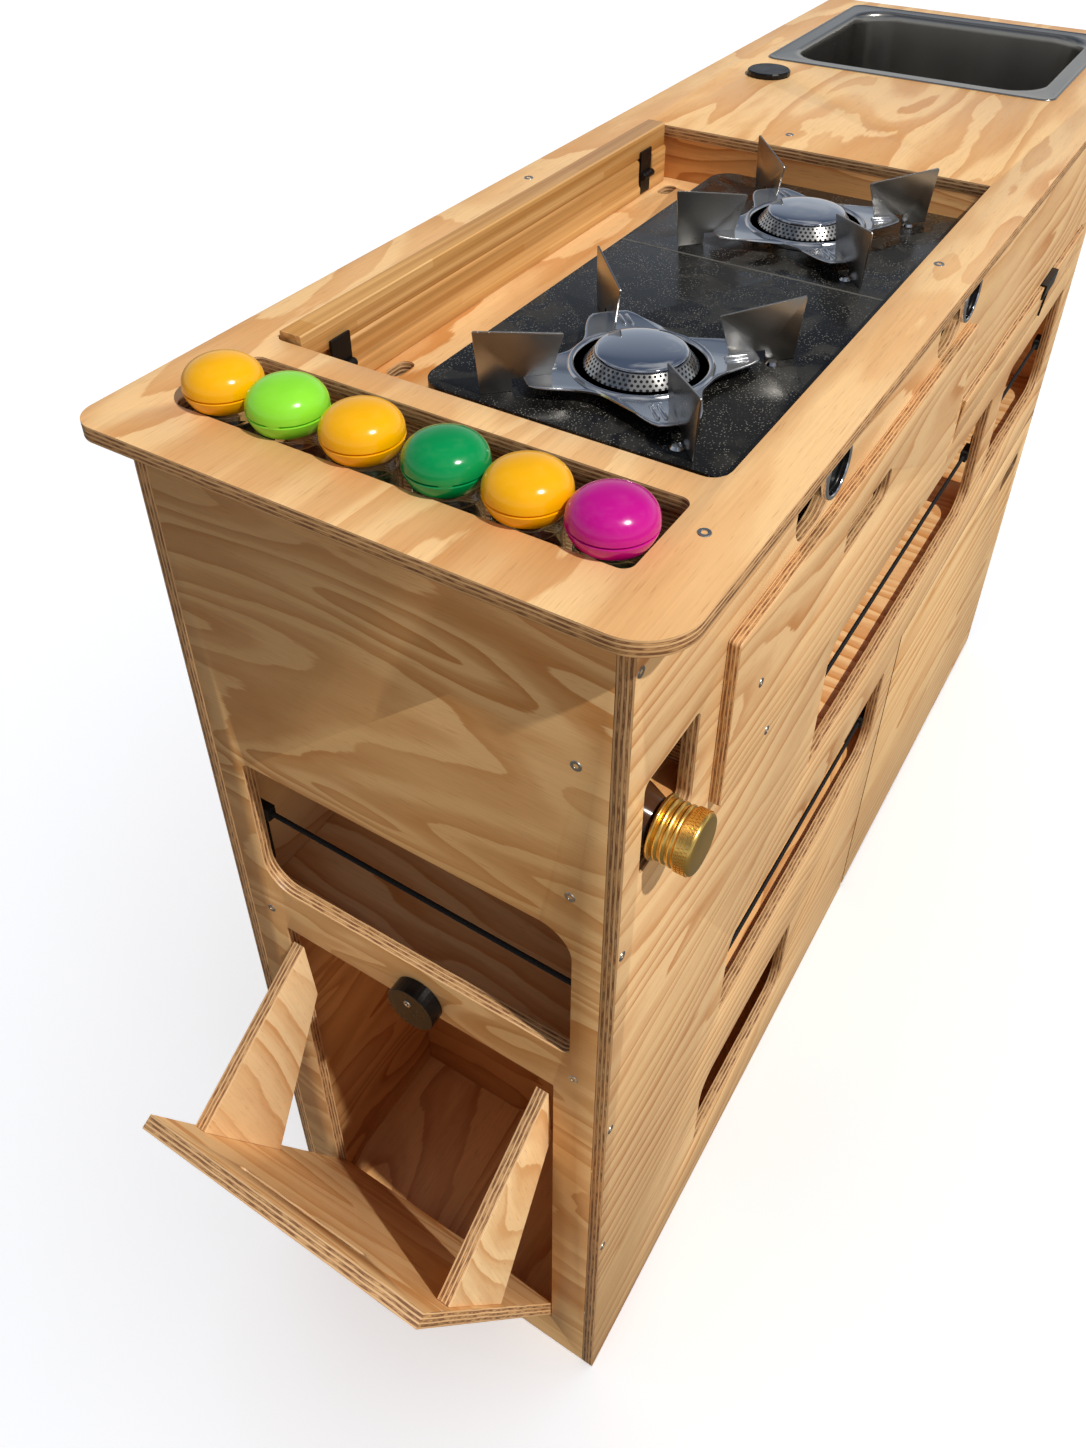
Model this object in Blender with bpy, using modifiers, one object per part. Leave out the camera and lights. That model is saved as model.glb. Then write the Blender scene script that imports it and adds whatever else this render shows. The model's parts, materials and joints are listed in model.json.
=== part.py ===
"""Campervan kitchen pod: a slim plywood cabinet with a gas hob, a steel sink, a drawer and a tilt-out bin.

Metres, +Z up. X runs along the pod from the bin end, Y from the front face to the back.
The origin is at the centre of the carcass footprint, on the floor. Sizes are written in the
pod's own measures: x from the bin end, y from the front face and z from the floor.
"""

import math

import bmesh
import bpy
from mathutils import Matrix, Vector

# ---------------------------------------------------------------- carcass
LENGTH = 1.142
DEPTH = 0.320
CARCASS_HEIGHT = 0.853
PLY = 0.010
GAP = 0.0003
OVERRUN = 0.004

# worktop
TOP_THICKNESS = 0.010
TOP_OVERHANG_NEAR = 0.014
TOP_OVERHANG_FRONT = 0.023
TOP_OVERHANG_BACK = 0.0305
TOP_RADIUS_FRONT = 0.032
TOP_RADIUS_BACK = 0.018
TOP_RADIUS_FAR = 0.006

# jar slot in the worktop
JAR_SLOT_X = 0.029
JAR_SLOT_WIDTH = 0.068
JAR_SLOT_Y = 0.021
JAR_SLOT_LENGTH = 0.292
JAR_SLOT_RADIUS = 0.007

# hob recess in the worktop
RECESS_X = 0.119
RECESS_Y = 0.016
RECESS_DEPTH = 0.302
RECESS_RADIUS = 0.012
RECESS_BACK_RADIUS = 0.0065
RECESS_FAR_RADIUS = 0.002

# shelves and dividers, by the height of the top face or the near face
BASE_THICKNESS = 0.010
LOWER_SHELF_TOP = 0.276
UPPER_SHELF_TOP = 0.450
DRAWER_SHELF_TOP = 0.624
BOTTLE_SHELF_TOP = 0.6662
JAR_SHELF_TOP = 0.755
DECK_TOP = 0.8165
BIN_DIVIDER_X = 0.157
BAY_DIVIDER_X = 0.300
MIDDLE_DIVIDER_X = 0.594
JAR_DIVIDER_X = 0.105
BIN_SIDE_INSET = 0.0205

# openings in the end panel
END_OPENING_Y = 0.030
END_OPENING_WIDTH = 0.258
END_OPENING_Z = 0.483
END_OPENING_HEIGHT = 0.128
END_RADIUS_FRONT_LOW = 0.008
END_RADIUS_FRONT_HIGH = 0.024
END_RADIUS_BACK_HIGH = 0.008
END_RADIUS_BACK_LOW = 0.025
BIN_OPENING_Y = 0.042
BIN_OPENING_WIDTH = 0.236
BIN_OPENING_Z = 0.047
BIN_OPENING_HEIGHT = 0.389
BIN_OPENING_RADIUS = 0.0015

# openings in the front panel: place and size of each
BOTTLE_SLOT_X = 0.019
BOTTLE_SLOT_WIDTH = 0.065
BOTTLE_SLOT_Z = 0.666
BOTTLE_SLOT_HEIGHT = 0.074
BOTTLE_SLOT_RADIUS = 0.006
LONG_OPENING_X = 0.335
LONG_OPENING_WIDTH = 0.450
LONG_OPENING_Z = 0.462
LONG_OPENING_HEIGHT = 0.133
SINK_OPENING_GAP = 0.056
SINK_OPENING_END_MARGIN = 0.052
SINK_OPENING_Z = 0.462
SINK_OPENING_HEIGHT = 0.133
SHELF_OPENING_X = 0.200
SHELF_OPENING_WIDTH = 0.365
SHELF_OPENING_Z = 0.283
SHELF_OPENING_HEIGHT = 0.107
LOW_OPENING_X = 0.186
LOW_OPENING_WIDTH = 0.204
LOW_OPENING_Z = 0.080
LOW_OPENING_HEIGHT = 0.105
OPENING_RADIUS_SMALL = 0.008
OPENING_RADIUS_LARGE = 0.024

# knob notches in the front panel's top edge
NOTCH_WIDTH = 0.062
NOTCH_DEPTH = 0.083
NOTCH_RADIUS = 0.022

# drawer
DRAWER_FRONT_X = 0.112
DRAWER_END_MARGIN = 0.044
DRAWER_FRONT_Z = 0.636
DRAWER_FRONT_HEIGHT = 0.133
DRAWER_FRONT_THICKNESS = 0.008
DRAWER_LAP = 0.006
DRAWER_PULL_INSET = 0.175
DRAWER_PULL_WIDTH = 0.088
DRAWER_PULL_Z = 0.726
DRAWER_PULL_HEIGHT = 0.015
DRAWER_SIDE = 0.008
DRAWER_BOTTOM = 0.006
DRAWER_CLEARANCE = 0.0025
DRAWER_BOX_HEIGHT = 0.070
DRAWER_BOX_LENGTH = 0.285
RUNNER_WIDTH = 0.015
RUNNER_BACK = 0.012

# sink flap and the strip under it
SINK_FLAP_END_MARGIN = 0.052
SINK_FLAP_Z = 0.624
SINK_FLAP_HEIGHT = 0.050
SINK_FLAP_CLEARANCE = 0.0006
SINK_FLAP_TOP_CLEARANCE = 0.0040
SINK_FLAP_LEAN = math.radians(5.0)
PULL_END_MARGIN = 0.140
PULL_WIDTH = 0.050
PULL_HEIGHT = 0.014
PULL_THICKNESS = 0.002
PULL_LIP = 0.009
PULL_CORD_RADIUS = 0.0011
PULL_CORD_FOOT = 0.003

# cupboard door
DOOR_X = 0.605
DOOR_HEIGHT = 0.405
DOOR_FLOOR_GAP = 0.002
DOOR_SIDE_GAP = 0.0008
DOOR_PULL_X = 1.025
DOOR_PULL_WIDTH = 0.080
DOOR_PULL_Z = 0.335
DOOR_PULL_HEIGHT = 0.025
DOOR_HINGE_THICKNESS = 0.0012
DOOR_HINGE_WIDTH = 0.022
DOOR_HINGE_MARGIN = 0.020
DOOR_KNUCKLE_RADIUS = 0.0025

# tilt-out bin: the flap's pivot and its two cheeks
PIVOT_HEIGHT = 0.0525
FLAP_LEAN = math.radians(24.5)
FLAP_SIDE_GAP = 0.001
FLAP_LENGTH = 0.3795
PIVOT_ROD_RADIUS = 0.0015
PIVOT_SOCKET = 0.010
CHEEK_INSET = 0.003
CHEEK_THICKNESS = 0.010
CHEEK_SPIKE_ALONG = 0.3363
CHEEK_SPIKE_OUT = 0.1486
CHEEK_HEEL_ALONG = 0.2739
CHEEK_HEEL_OUT = 0.1241
CHEEK_FOOT_LOW = 0.1835
CHEEK_FOOT_HIGH = 0.3190
FINGER_SLOT_ALONG = 0.342
FINGER_SLOT_LENGTH = 0.110
FINGER_SLOT_WIDTH = 0.010

# turn button over the bin
BUTTON_Y = 0.152
BUTTON_PIVOT_Z = 0.455
BUTTON_RADIUS = 0.0195
BUTTON_THICKNESS = 0.012
BUTTON_OFFSET = 0.006
BUTTON_BEVEL = 0.0008

# elastic cords behind the openings
CORD_RADIUS = 0.0019
CLIP_THICKNESS = 0.007
CLIP_HEIGHT = 0.011
CLIP_LENGTH = 0.018
CLIP_REACH = 0.004
END_CORD_Z_FRONT = 0.541
END_CORD_Z_BACK = 0.548
END_CLIP_REACH = 0.016
LONG_CORD_Z = 0.520
SHELF_CORD_Z = 0.312
SINK_CORD_Z = 0.517

# hob
HOB_NEAR_MARGIN = 0.0340
HOB_FAR_MARGIN = 0.0220
HOB_WIDTH = 0.4350
HOB_Y = 0.0135
HOB_DEPTH = 0.2235
HOB_TOP = 0.841
HOB_RADIUS = 0.018
HOB_HOUSING_INSET_X = 0.016
HOB_HOUSING_INSET_BACK = 0.038
HOB_HOUSING_BELOW = 0.0235
HOB_LEDGE = 0.003
BURNER_NEAR_INSET = 0.0783
BURNER_FAR_INSET = 0.0925
BURNER_Y = 0.1225
RING_LIP_RADIUS = 0.0370
RING_LIP_HEIGHT = 0.0018
RING_BAND_RADIUS = 0.0350
RING_TOP_RADIUS = 0.0292
RING_FOOT_RADIUS = 0.0340
RING_LIP_Z = 0.0055
RING_BAND_Z = 0.0078
RING_TOP_Z = 0.0165
RING_WALL = 0.0015
RING_HOLE_RADIUS = 0.0011
RING_HOLE_REACH = 0.0030
CAP_RADIUS = 0.0288
CAP_EDGE = 0.0012
CAP_DOME = 0.0026
DRIP_WAIST = 0.0470
DRIP_POINT = 0.0735
DRIP_BORE = 0.0415
DRIP_Z = 0.0075
DRIP_THICKNESS = 0.0012
DRIP_COLLAR = 0.0015
BLADE_THICKNESS = 0.0012
BLADE_OUTER = 0.1048
BLADE_INNER = 0.0489
BLADE_OUTER_TOP = 0.0420
BLADE_INNER_TOP = 0.0345
BLADE_HEEL = 0.0572
BLADE_FOOT_OUTER = 0.1010
BLADE_FOOT_INNER = 0.0814
BLADE_STEP = 0.0085

# hob knobs
KNOB_NEAR_INSET = 0.079
KNOB_FAR_INSET = 0.083
KNOB_Z = 0.818
KNOB_RADIUS = 0.0200
KNOB_FRONT = 0.0110
KNOB_LENGTH = 0.0195
KNOB_FACE_RADIUS = 0.0165
KNOB_FACE_RECESS = 0.0020
KNOB_RIM = 0.0045
KNOB_WAIST = 0.0178
KNOB_SHAFT_RADIUS = 0.0030

# bamboo rail and cover board
RAIL_NEAR_MARGIN = 0.0025
RAIL_FAR_MARGIN = 0.0080
RAIL_Y = 0.2965
RAIL_THICKNESS = 0.0125
RAIL_TOP = 0.8490
RAIL_EDGE = 0.0030
BOARD_Y = 0.2985
BOARD_THICKNESS = 0.0170
BOARD_TOP = 0.8680
BOARD_EDGE = 0.0012
STRAP_NEAR_INSET = 0.0285
STRAP_FAR_INSET = 0.0370
STRAP_SLOT_WIDTH = 0.024
STRAP_SLOT_DEPTH = 0.0060
STRAP_SLOT_FOOT = 0.0040
STRAP_WIDTH = 0.017
STRAP_THICKNESS = 0.0020
STRAP_LENGTH = 0.0195
STRAP_KNUCKLE = 0.0032
STRAP_KNUCKLE_DROP = 0.0150
BOARD_RELIEF = 0.0030
DECK_SLOT_NEAR_INSET = 0.077
DECK_SLOT_FAR_INSET = 0.026
DIVIDER_CLEARANCE = 0.002
DECK_SLOT_Y = 0.284
DECK_SLOT_LENGTH = 0.022
DECK_SLOT_WIDTH = 0.012

# sink
SINK_X = 0.854
SINK_LENGTH = 0.267
SINK_Y = 0.026
SINK_WIDTH = 0.288
SINK_SHEET = 0.0010
SINK_FLANGE = 0.016
SINK_RIM_RADIUS = 0.030
SINK_BOWL_RADIUS = 0.040
SINK_FLOOR_RADIUS = 0.030
SINK_ROLL = 0.004
SINK_BOWL_DEPTH = 0.130
SINK_TAPER = 0.008
SINK_FLOOR_ROLL = 0.018
SINK_FALL = 0.003
WASTE_RADIUS = 0.022
WASTE_LENGTH = 0.035
CUTOUT_CLEARANCE = 0.003

# tap-hole cap
TAP_X = 0.802
TAP_Y = 0.287
TAP_CAP_RADIUS = 0.021
TAP_CAP_HEIGHT = 0.005
TAP_HOLE_RADIUS = 0.0175
TAP_PLUG_LENGTH = 0.009
TAP_CAP_ROUND = 0.0013

# jars
JAR_X = 0.0487
JAR_RADIUS = 0.0190
JAR_WALL = 0.0020
JAR_FOOT = 0.0025
JAR_BODY_HEIGHT = 0.1005
JAR_NECK_RADIUS = 0.0165
JAR_NECK_FOOT = 0.0035
JAR_NECK_HEIGHT = 0.0100
JAR_FIRST_Y = 0.0410
JAR_STEPS = (0.0475, 0.0490, 0.0540, 0.0515, 0.0473)
LID_RADIUS = 0.0232
LID_SEAM_Z = 0.1187
LID_TOP_Z = 0.1340
LID_SKIRT_RADIUS = 0.0195
LID_SKIRT_Z = 0.1081
LID_CLEARANCE = 0.0004

# bottle and its cap
BOTTLE_RADIUS = 0.0210
BOTTLE_X = 0.0405
BOTTLE_BACK = 0.0750
BOTTLE_BODY_LENGTH = 0.180
BOTTLE_SHOULDER = 0.022
BOTTLE_NECK_RADIUS = 0.0125
BOTTLE_NECK_INTO_CAP = 0.0180
BOTTLE_ROUND = 0.003
CAP_FRONT = 0.0270
CAP_BACK = 0.0005
CAP_FLANGE_RADIUS = 0.0205
CAP_FLANGE = 0.0028
CAP_RIB_RADIUS = 0.0198
CAP_RIB_GROOVE = 0.0013
CAP_RIB_RUN = 0.0130
CAP_BAND_RADIUS = 0.0203
CAP_BAND_ROUND = 0.0008
CAP_BORE_CLEARANCE = 0.0004
CAP_KNURL = 0.0004

# counts and shares
FILLET_STEPS = 4
ROUND_STEPS = 22
JAR_ROUND_STEPS = 18
RING_STEPS = 32
RING_HOLES = 18
RING_HOLE_SIDES = 5
RING_HOLE_ROW_SHARES = (0.30, 0.74)
CAP_RIBS = 3
SINK_CORNER_STEPS = 7
DRIP_POINTS = 48
DRIP_SHARPNESS = 3.0
DOME_STEPS = 4
FLAT_SHARE = 0.9


# ---------------------------------------------------------------- scene set-up
for stale in list(bpy.data.objects):
    bpy.data.objects.remove(stale, do_unlink=True)

parts = bpy.data.collections.new("campervan_kitchen_pod")
cutters = bpy.data.collections.new("cutters")
bpy.context.scene.collection.children.link(parts)
bpy.context.scene.collection.children.link(cutters)


def material(name, colour, roughness, metallic=0.0, alpha=1.0):
    made = bpy.data.materials.new(name)
    made.use_nodes = True
    shader = made.node_tree.nodes["Principled BSDF"]
    shader.inputs["Base Color"].default_value = (*colour, 1.0)
    shader.inputs["Roughness"].default_value = roughness
    shader.inputs["Metallic"].default_value = metallic
    shader.inputs["Alpha"].default_value = alpha
    return made


ply_wood = material("oiled_plywood", (0.62, 0.38, 0.17), 0.45)
inner_wood = material("inner_plywood", (0.50, 0.29, 0.12), 0.55)
bamboo = material("bamboo", (0.60, 0.34, 0.13), 0.40)
enamel = material("black_enamel", (0.012, 0.012, 0.013), 0.35)
steel = material("stainless_steel", (0.62, 0.62, 0.63), 0.25, 1.0)
mirror_steel = material("polished_steel", (0.80, 0.81, 0.83), 0.08, 1.0)
black_plastic = material("black_plastic", (0.010, 0.010, 0.010), 0.35)
black_elastic = material("black_elastic", (0.012, 0.012, 0.012), 0.80)
black_steel = material("black_steel", (0.020, 0.019, 0.018), 0.45, 0.6)
gold = material("gold_aluminium", (0.75, 0.50, 0.15), 0.28, 1.0)
glass = material("clear_glass", (0.85, 0.88, 0.86), 0.05, 0.0, 0.35)
yellow_lid = material("yellow_lid", (0.90, 0.42, 0.005), 0.25)
lime_lid = material("lime_lid", (0.22, 0.62, 0.03), 0.25)
green_lid = material("green_lid", (0.005, 0.22, 0.07), 0.25)
magenta_lid = material("magenta_lid", (0.50, 0.008, 0.26), 0.25)


def pod(x, y, z):
    """A place in the pod's own measures, as a world point."""
    return Vector((x - LENGTH / 2, y - DEPTH / 2, z))


def add_object(name, mesh, paint, origin, collection=parts):
    made = bpy.data.objects.new(name, mesh)
    made.location = pod(*origin)
    if paint is not None:
        mesh.materials.append(paint)
    collection.objects.link(made)
    return made


def smooth(made, angle=math.radians(35.0)):
    made.data.shade_smooth()
    made.data.set_sharp_from_angle(angle=angle)


def box_mesh(name, low, high, origin):
    mesh = bpy.data.meshes.new(name)
    work = bmesh.new()
    bmesh.ops.create_cube(work, size=1.0)
    size = [b - a for a, b in zip(low, high)]
    middle = [(a + b) / 2 - o for a, b, o in zip(low, high, origin)]
    bmesh.ops.scale(work, vec=size, verts=work.verts)
    bmesh.ops.translate(work, vec=middle, verts=work.verts)
    work.to_mesh(mesh)
    work.free()
    return mesh


def box(name, low, high, paint, origin=None, collection=parts):
    """A plain board between two corners."""
    if origin is None:
        origin = [(a + b) / 2 for a, b in zip(low, high)]
    return add_object(name, box_mesh(name, low, high, origin), paint, origin, collection)


def filleted(corners):
    """An outline with its corners rounded: each corner is (u, v, radius)."""
    points = []
    count = len(corners)
    for i, (u, v, radius) in enumerate(corners):
        here = Vector((u, v))
        if radius <= 0:
            points.append(here)
            continue
        back = (Vector(corners[i - 1][:2]) - here).normalized()
        ahead = (Vector(corners[(i + 1) % count][:2]) - here).normalized()
        half = math.acos(max(-1.0, min(1.0, back.dot(ahead)))) / 2
        centre = here + (back + ahead).normalized() * (radius / math.sin(half))
        start = here + back * (radius / math.tan(half)) - centre
        stop = here + ahead * (radius / math.tan(half)) - centre
        first = math.atan2(start.y, start.x)
        sweep = (math.atan2(stop.y, stop.x) - first + math.pi) % (2 * math.pi) - math.pi
        for k in range(FILLET_STEPS + 1):
            turn = first + sweep * k / FILLET_STEPS
            points.append(centre + Vector((math.cos(turn), math.sin(turn))) * radius)
    return points


def rectangle(u, v, width, height, radius=0.0):
    """A rounded rectangle from its lower corner; radius is one value, or one for each corner."""
    radii = radius if isinstance(radius, tuple) else (radius,) * 4
    ends = ((u, v), (u + width, v), (u + width, v + height), (u, v + height))
    return filleted([(a, b, r) for (a, b), r in zip(ends, radii)])


def circle(u, v, radius, count=ROUND_STEPS):
    turns = [2 * math.pi * k / count for k in range(count)]
    return [Vector((u + radius * math.cos(t), v + radius * math.sin(t))) for t in turns]


PLANES = {
    "XY": Matrix(((1, 0, 0), (0, 1, 0), (0, 0, 1))),
    "XZ": Matrix(((1, 0, 0), (0, 0, -1), (0, 1, 0))),
    "YZ": Matrix(((0, 0, 1), (1, 0, 0), (0, 1, 0))),
}


def sheet_mesh(name, plane, outlines, low, high, origin):
    """A flat outline, with any further outlines as holes, between two depths along its normal."""
    turn = PLANES[plane]
    flat = turn.transposed() @ Vector(origin)
    curve = bpy.data.curves.new(name, "CURVE")
    curve.dimensions = "2D"
    curve.fill_mode = "BOTH"
    curve.extrude = (high - low) / 2
    for outline in outlines:
        spline = curve.splines.new("POLY")
        spline.points.add(len(outline) - 1)
        for point, (u, v) in zip(spline.points, outline):
            point.co = (u - flat.x, v - flat.y, 0.0, 1.0)
        spline.use_cyclic_u = True
    guide = bpy.data.objects.new(name + "_outline", curve)
    cutters.objects.link(guide)
    bpy.context.view_layer.update()
    mesh = bpy.data.meshes.new_from_object(guide.evaluated_get(bpy.context.evaluated_depsgraph_get()))
    bpy.data.objects.remove(guide, do_unlink=True)
    sign = -1.0 if plane == "XZ" else 1.0
    middle = sign * (low + high) / 2 - flat.z
    mesh.transform(Matrix.Translation((0.0, 0.0, middle)))
    mesh.transform(turn.to_4x4())
    tidy(mesh)
    mesh.name = name
    mesh.materials.clear()
    return mesh


def tidy(mesh):
    """Joins the loose caps of a filled curve to its sides."""
    work = bmesh.new()
    work.from_mesh(mesh)
    bmesh.ops.remove_doubles(work, verts=work.verts, dist=1e-6)
    bmesh.ops.recalc_face_normals(work, faces=work.faces)
    work.to_mesh(mesh)
    work.free()


def sheet(name, plane, outlines, low, high, paint, origin=(0.0, 0.0, 0.0), collection=parts):
    return add_object(name, sheet_mesh(name, plane, outlines, low, high, origin), paint, origin, collection)


def combine(made, tool, operation):
    """Cuts or joins with a Boolean whose tool stays in the cutters' collection."""
    for owner in list(tool.users_collection):
        owner.objects.unlink(tool)
    cutters.objects.link(tool)
    tool.hide_render = True
    tool.display_type = "WIRE"
    step = made.modifiers.new(operation.lower(), "BOOLEAN")
    step.operation = operation
    step.solver = "EXACT"
    step.object = tool
    return made


def turned(name, profile, paint, origin, facing=(0.0, 0.0, 0.0), steps=ROUND_STEPS, collection=parts):
    """A turned shape from a profile of (radius, height), down the outer side."""
    mesh = bpy.data.meshes.new(name)
    points = [(radius, 0.0, height) for radius, height in profile]
    edges = [(i, i + 1) for i in range(len(points) - 1)]
    if profile[0][0] > 0:
        edges.append((len(points) - 1, 0))
    mesh.from_pydata(points, edges, [])
    made = add_object(name, mesh, paint, origin, collection)
    made.rotation_euler = facing
    screw = made.modifiers.new("turn", "SCREW")
    screw.axis = "Z"
    screw.angle = 2 * math.pi
    screw.steps = steps
    screw.render_steps = steps
    screw.use_merge_vertices = True
    screw.merge_threshold = 1e-5
    screw.use_smooth_shade = True
    return made


def arc(radius_from, z_from, radius_to, z_to, steps=DOME_STEPS):
    """A quarter ellipse from the axis side out and down, without its first point."""
    turns = [math.pi / 2 * k / steps for k in range(1, steps + 1)]
    width = radius_to - radius_from
    height = z_from - z_to
    return [(radius_from + width * math.sin(t), z_to + height * math.cos(t)) for t in turns]


def tube(name, path, radius, paint, origin):
    """A straight-run cord or rod through the given points."""
    curve = bpy.data.curves.new(name, "CURVE")
    curve.dimensions = "3D"
    curve.bevel_depth = radius
    curve.bevel_resolution = 2
    curve.use_fill_caps = True
    spline = curve.splines.new("POLY")
    spline.points.add(len(path) - 1)
    for point, place in zip(spline.points, path):
        point.co = (*(a - o for a, o in zip(place, origin)), 1.0)
    guide = bpy.data.objects.new(name + "_route", curve)
    cutters.objects.link(guide)
    bpy.context.view_layer.update()
    mesh = bpy.data.meshes.new_from_object(guide.evaluated_get(bpy.context.evaluated_depsgraph_get()))
    bpy.data.objects.remove(guide, do_unlink=True)
    tidy(mesh)
    mesh.name = name
    mesh.materials.clear()
    return add_object(name, mesh, paint, origin)


FACE_FRONT = (math.pi / 2, 0.0, 0.0)

# ---------------------------------------------------------------- places that follow the sizes above
hob_x = RECESS_X + HOB_NEAR_MARGIN
recess_width = HOB_NEAR_MARGIN + HOB_WIDTH + HOB_FAR_MARGIN
recess_end = RECESS_X + recess_width
burner_x_near = hob_x + BURNER_NEAR_INSET
burner_x_far = hob_x + HOB_WIDTH - BURNER_FAR_INSET
knob_x_near = hob_x + KNOB_NEAR_INSET
knob_x_far = hob_x + HOB_WIDTH - KNOB_FAR_INSET
rail_x = RECESS_X + RAIL_NEAR_MARGIN
rail_length = recess_width - RAIL_NEAR_MARGIN - RAIL_FAR_MARGIN
sink_divider_x = recess_end + DIVIDER_CLEARANCE
drawer_front_width = sink_divider_x - DRAWER_END_MARGIN - DRAWER_FRONT_X
sink_flap_x = sink_divider_x + PLY
sink_flap_width = LENGTH - SINK_FLAP_END_MARGIN - sink_flap_x
pull_x = sink_flap_x + sink_flap_width - PULL_END_MARGIN - PULL_WIDTH
sink_opening_x = LONG_OPENING_X + LONG_OPENING_WIDTH + SINK_OPENING_GAP
sink_opening_width = LENGTH - SINK_OPENING_END_MARGIN - sink_opening_x

# ---------------------------------------------------------------- carcass panels
inner_left = PLY + GAP
inner_right = LENGTH - PLY - GAP
inner_front = PLY + GAP
inner_back = DEPTH - PLY - GAP
panel_top = CARCASS_HEIGHT - GAP
floor = BASE_THICKNESS + GAP

top_low = CARCASS_HEIGHT
top_high = CARCASS_HEIGHT + TOP_THICKNESS
top_width = LENGTH + TOP_OVERHANG_NEAR
top_depth = DEPTH + TOP_OVERHANG_FRONT + TOP_OVERHANG_BACK
sink_cut_x = SINK_X + SINK_FLANGE - CUTOUT_CLEARANCE
sink_cut_y = SINK_Y + SINK_FLANGE - CUTOUT_CLEARANCE
sink_cut_length = SINK_LENGTH - 2 * (SINK_FLANGE - CUTOUT_CLEARANCE)
sink_cut_width = SINK_WIDTH - 2 * (SINK_FLANGE - CUTOUT_CLEARANCE)
sheet(
    "worktop",
    "XY",
    [
        rectangle(
            -TOP_OVERHANG_NEAR,
            -TOP_OVERHANG_FRONT,
            top_width,
            top_depth,
            (TOP_RADIUS_FRONT, TOP_RADIUS_FAR, TOP_RADIUS_FAR, TOP_RADIUS_BACK),
        ),
        rectangle(JAR_SLOT_X, JAR_SLOT_Y, JAR_SLOT_WIDTH, JAR_SLOT_LENGTH, JAR_SLOT_RADIUS),
        rectangle(
            RECESS_X,
            RECESS_Y,
            recess_width,
            RECESS_DEPTH,
            (RECESS_RADIUS, RECESS_FAR_RADIUS, RECESS_FAR_RADIUS, RECESS_BACK_RADIUS),
        ),
        rectangle(sink_cut_x, sink_cut_y, sink_cut_length, sink_cut_width, SINK_BOWL_RADIUS),
        circle(TAP_X, TAP_Y, TAP_HOLE_RADIUS),
    ],
    top_low,
    top_high,
    ply_wood,
)

near_end = sheet(
    "near_end_panel",
    "YZ",
    [
        rectangle(inner_front, 0.0, inner_back - inner_front, panel_top),
        rectangle(
            END_OPENING_Y,
            END_OPENING_Z,
            END_OPENING_WIDTH,
            END_OPENING_HEIGHT,
            (END_RADIUS_FRONT_LOW, END_RADIUS_BACK_LOW, END_RADIUS_BACK_HIGH, END_RADIUS_FRONT_HIGH),
        ),
        rectangle(
            BIN_OPENING_Y, BIN_OPENING_Z, BIN_OPENING_WIDTH, BIN_OPENING_HEIGHT, BIN_OPENING_RADIUS
        ),
    ],
    0.0,
    PLY,
    ply_wood,
)

box(
    "far_end_panel",
    (LENGTH - PLY, inner_front, 0.0),
    (LENGTH, inner_back, panel_top),
    ply_wood,
)

notch_foot = CARCASS_HEIGHT - NOTCH_DEPTH
front_outline = [
    (0.0, 0.0, 0.0),
    (DOOR_X, 0.0, 0.0),
    (DOOR_X, DOOR_HEIGHT, 0.0),
    (LENGTH, DOOR_HEIGHT, 0.0),
    (LENGTH, panel_top, 0.0),
]
for knob_x in (knob_x_far, knob_x_near):
    front_outline.append((knob_x + NOTCH_WIDTH / 2, panel_top, 0.0))
    front_outline.append((knob_x + NOTCH_WIDTH / 2, notch_foot, NOTCH_RADIUS))
    front_outline.append((knob_x - NOTCH_WIDTH / 2, notch_foot, NOTCH_RADIUS))
    front_outline.append((knob_x - NOTCH_WIDTH / 2, panel_top, 0.0))
front_outline.append((0.0, panel_top, 0.0))
drawer_open_x = DRAWER_FRONT_X + DRAWER_LAP
drawer_open_z = DRAWER_FRONT_Z + DRAWER_LAP
drawer_open_width = drawer_front_width - 2 * DRAWER_LAP
drawer_open_height = DRAWER_FRONT_HEIGHT - 2 * DRAWER_LAP
opening_radii = (OPENING_RADIUS_SMALL, OPENING_RADIUS_LARGE, OPENING_RADIUS_SMALL, OPENING_RADIUS_LARGE)
sheet(
    "front_panel",
    "XZ",
    [
        filleted(front_outline),
        rectangle(
            BOTTLE_SLOT_X, BOTTLE_SLOT_Z, BOTTLE_SLOT_WIDTH, BOTTLE_SLOT_HEIGHT, BOTTLE_SLOT_RADIUS
        ),
        rectangle(drawer_open_x, drawer_open_z, drawer_open_width, drawer_open_height),
        rectangle(
            LONG_OPENING_X, LONG_OPENING_Z, LONG_OPENING_WIDTH, LONG_OPENING_HEIGHT, opening_radii
        ),
        rectangle(
            sink_opening_x, SINK_OPENING_Z, sink_opening_width, SINK_OPENING_HEIGHT, opening_radii
        ),
        rectangle(
            SHELF_OPENING_X, SHELF_OPENING_Z, SHELF_OPENING_WIDTH, SHELF_OPENING_HEIGHT, opening_radii
        ),
        rectangle(LOW_OPENING_X, LOW_OPENING_Z, LOW_OPENING_WIDTH, LOW_OPENING_HEIGHT, opening_radii),
        rectangle(sink_flap_x, SINK_FLAP_Z, sink_flap_width, SINK_FLAP_HEIGHT),
    ],
    0.0,
    PLY,
    ply_wood,
)

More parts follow.
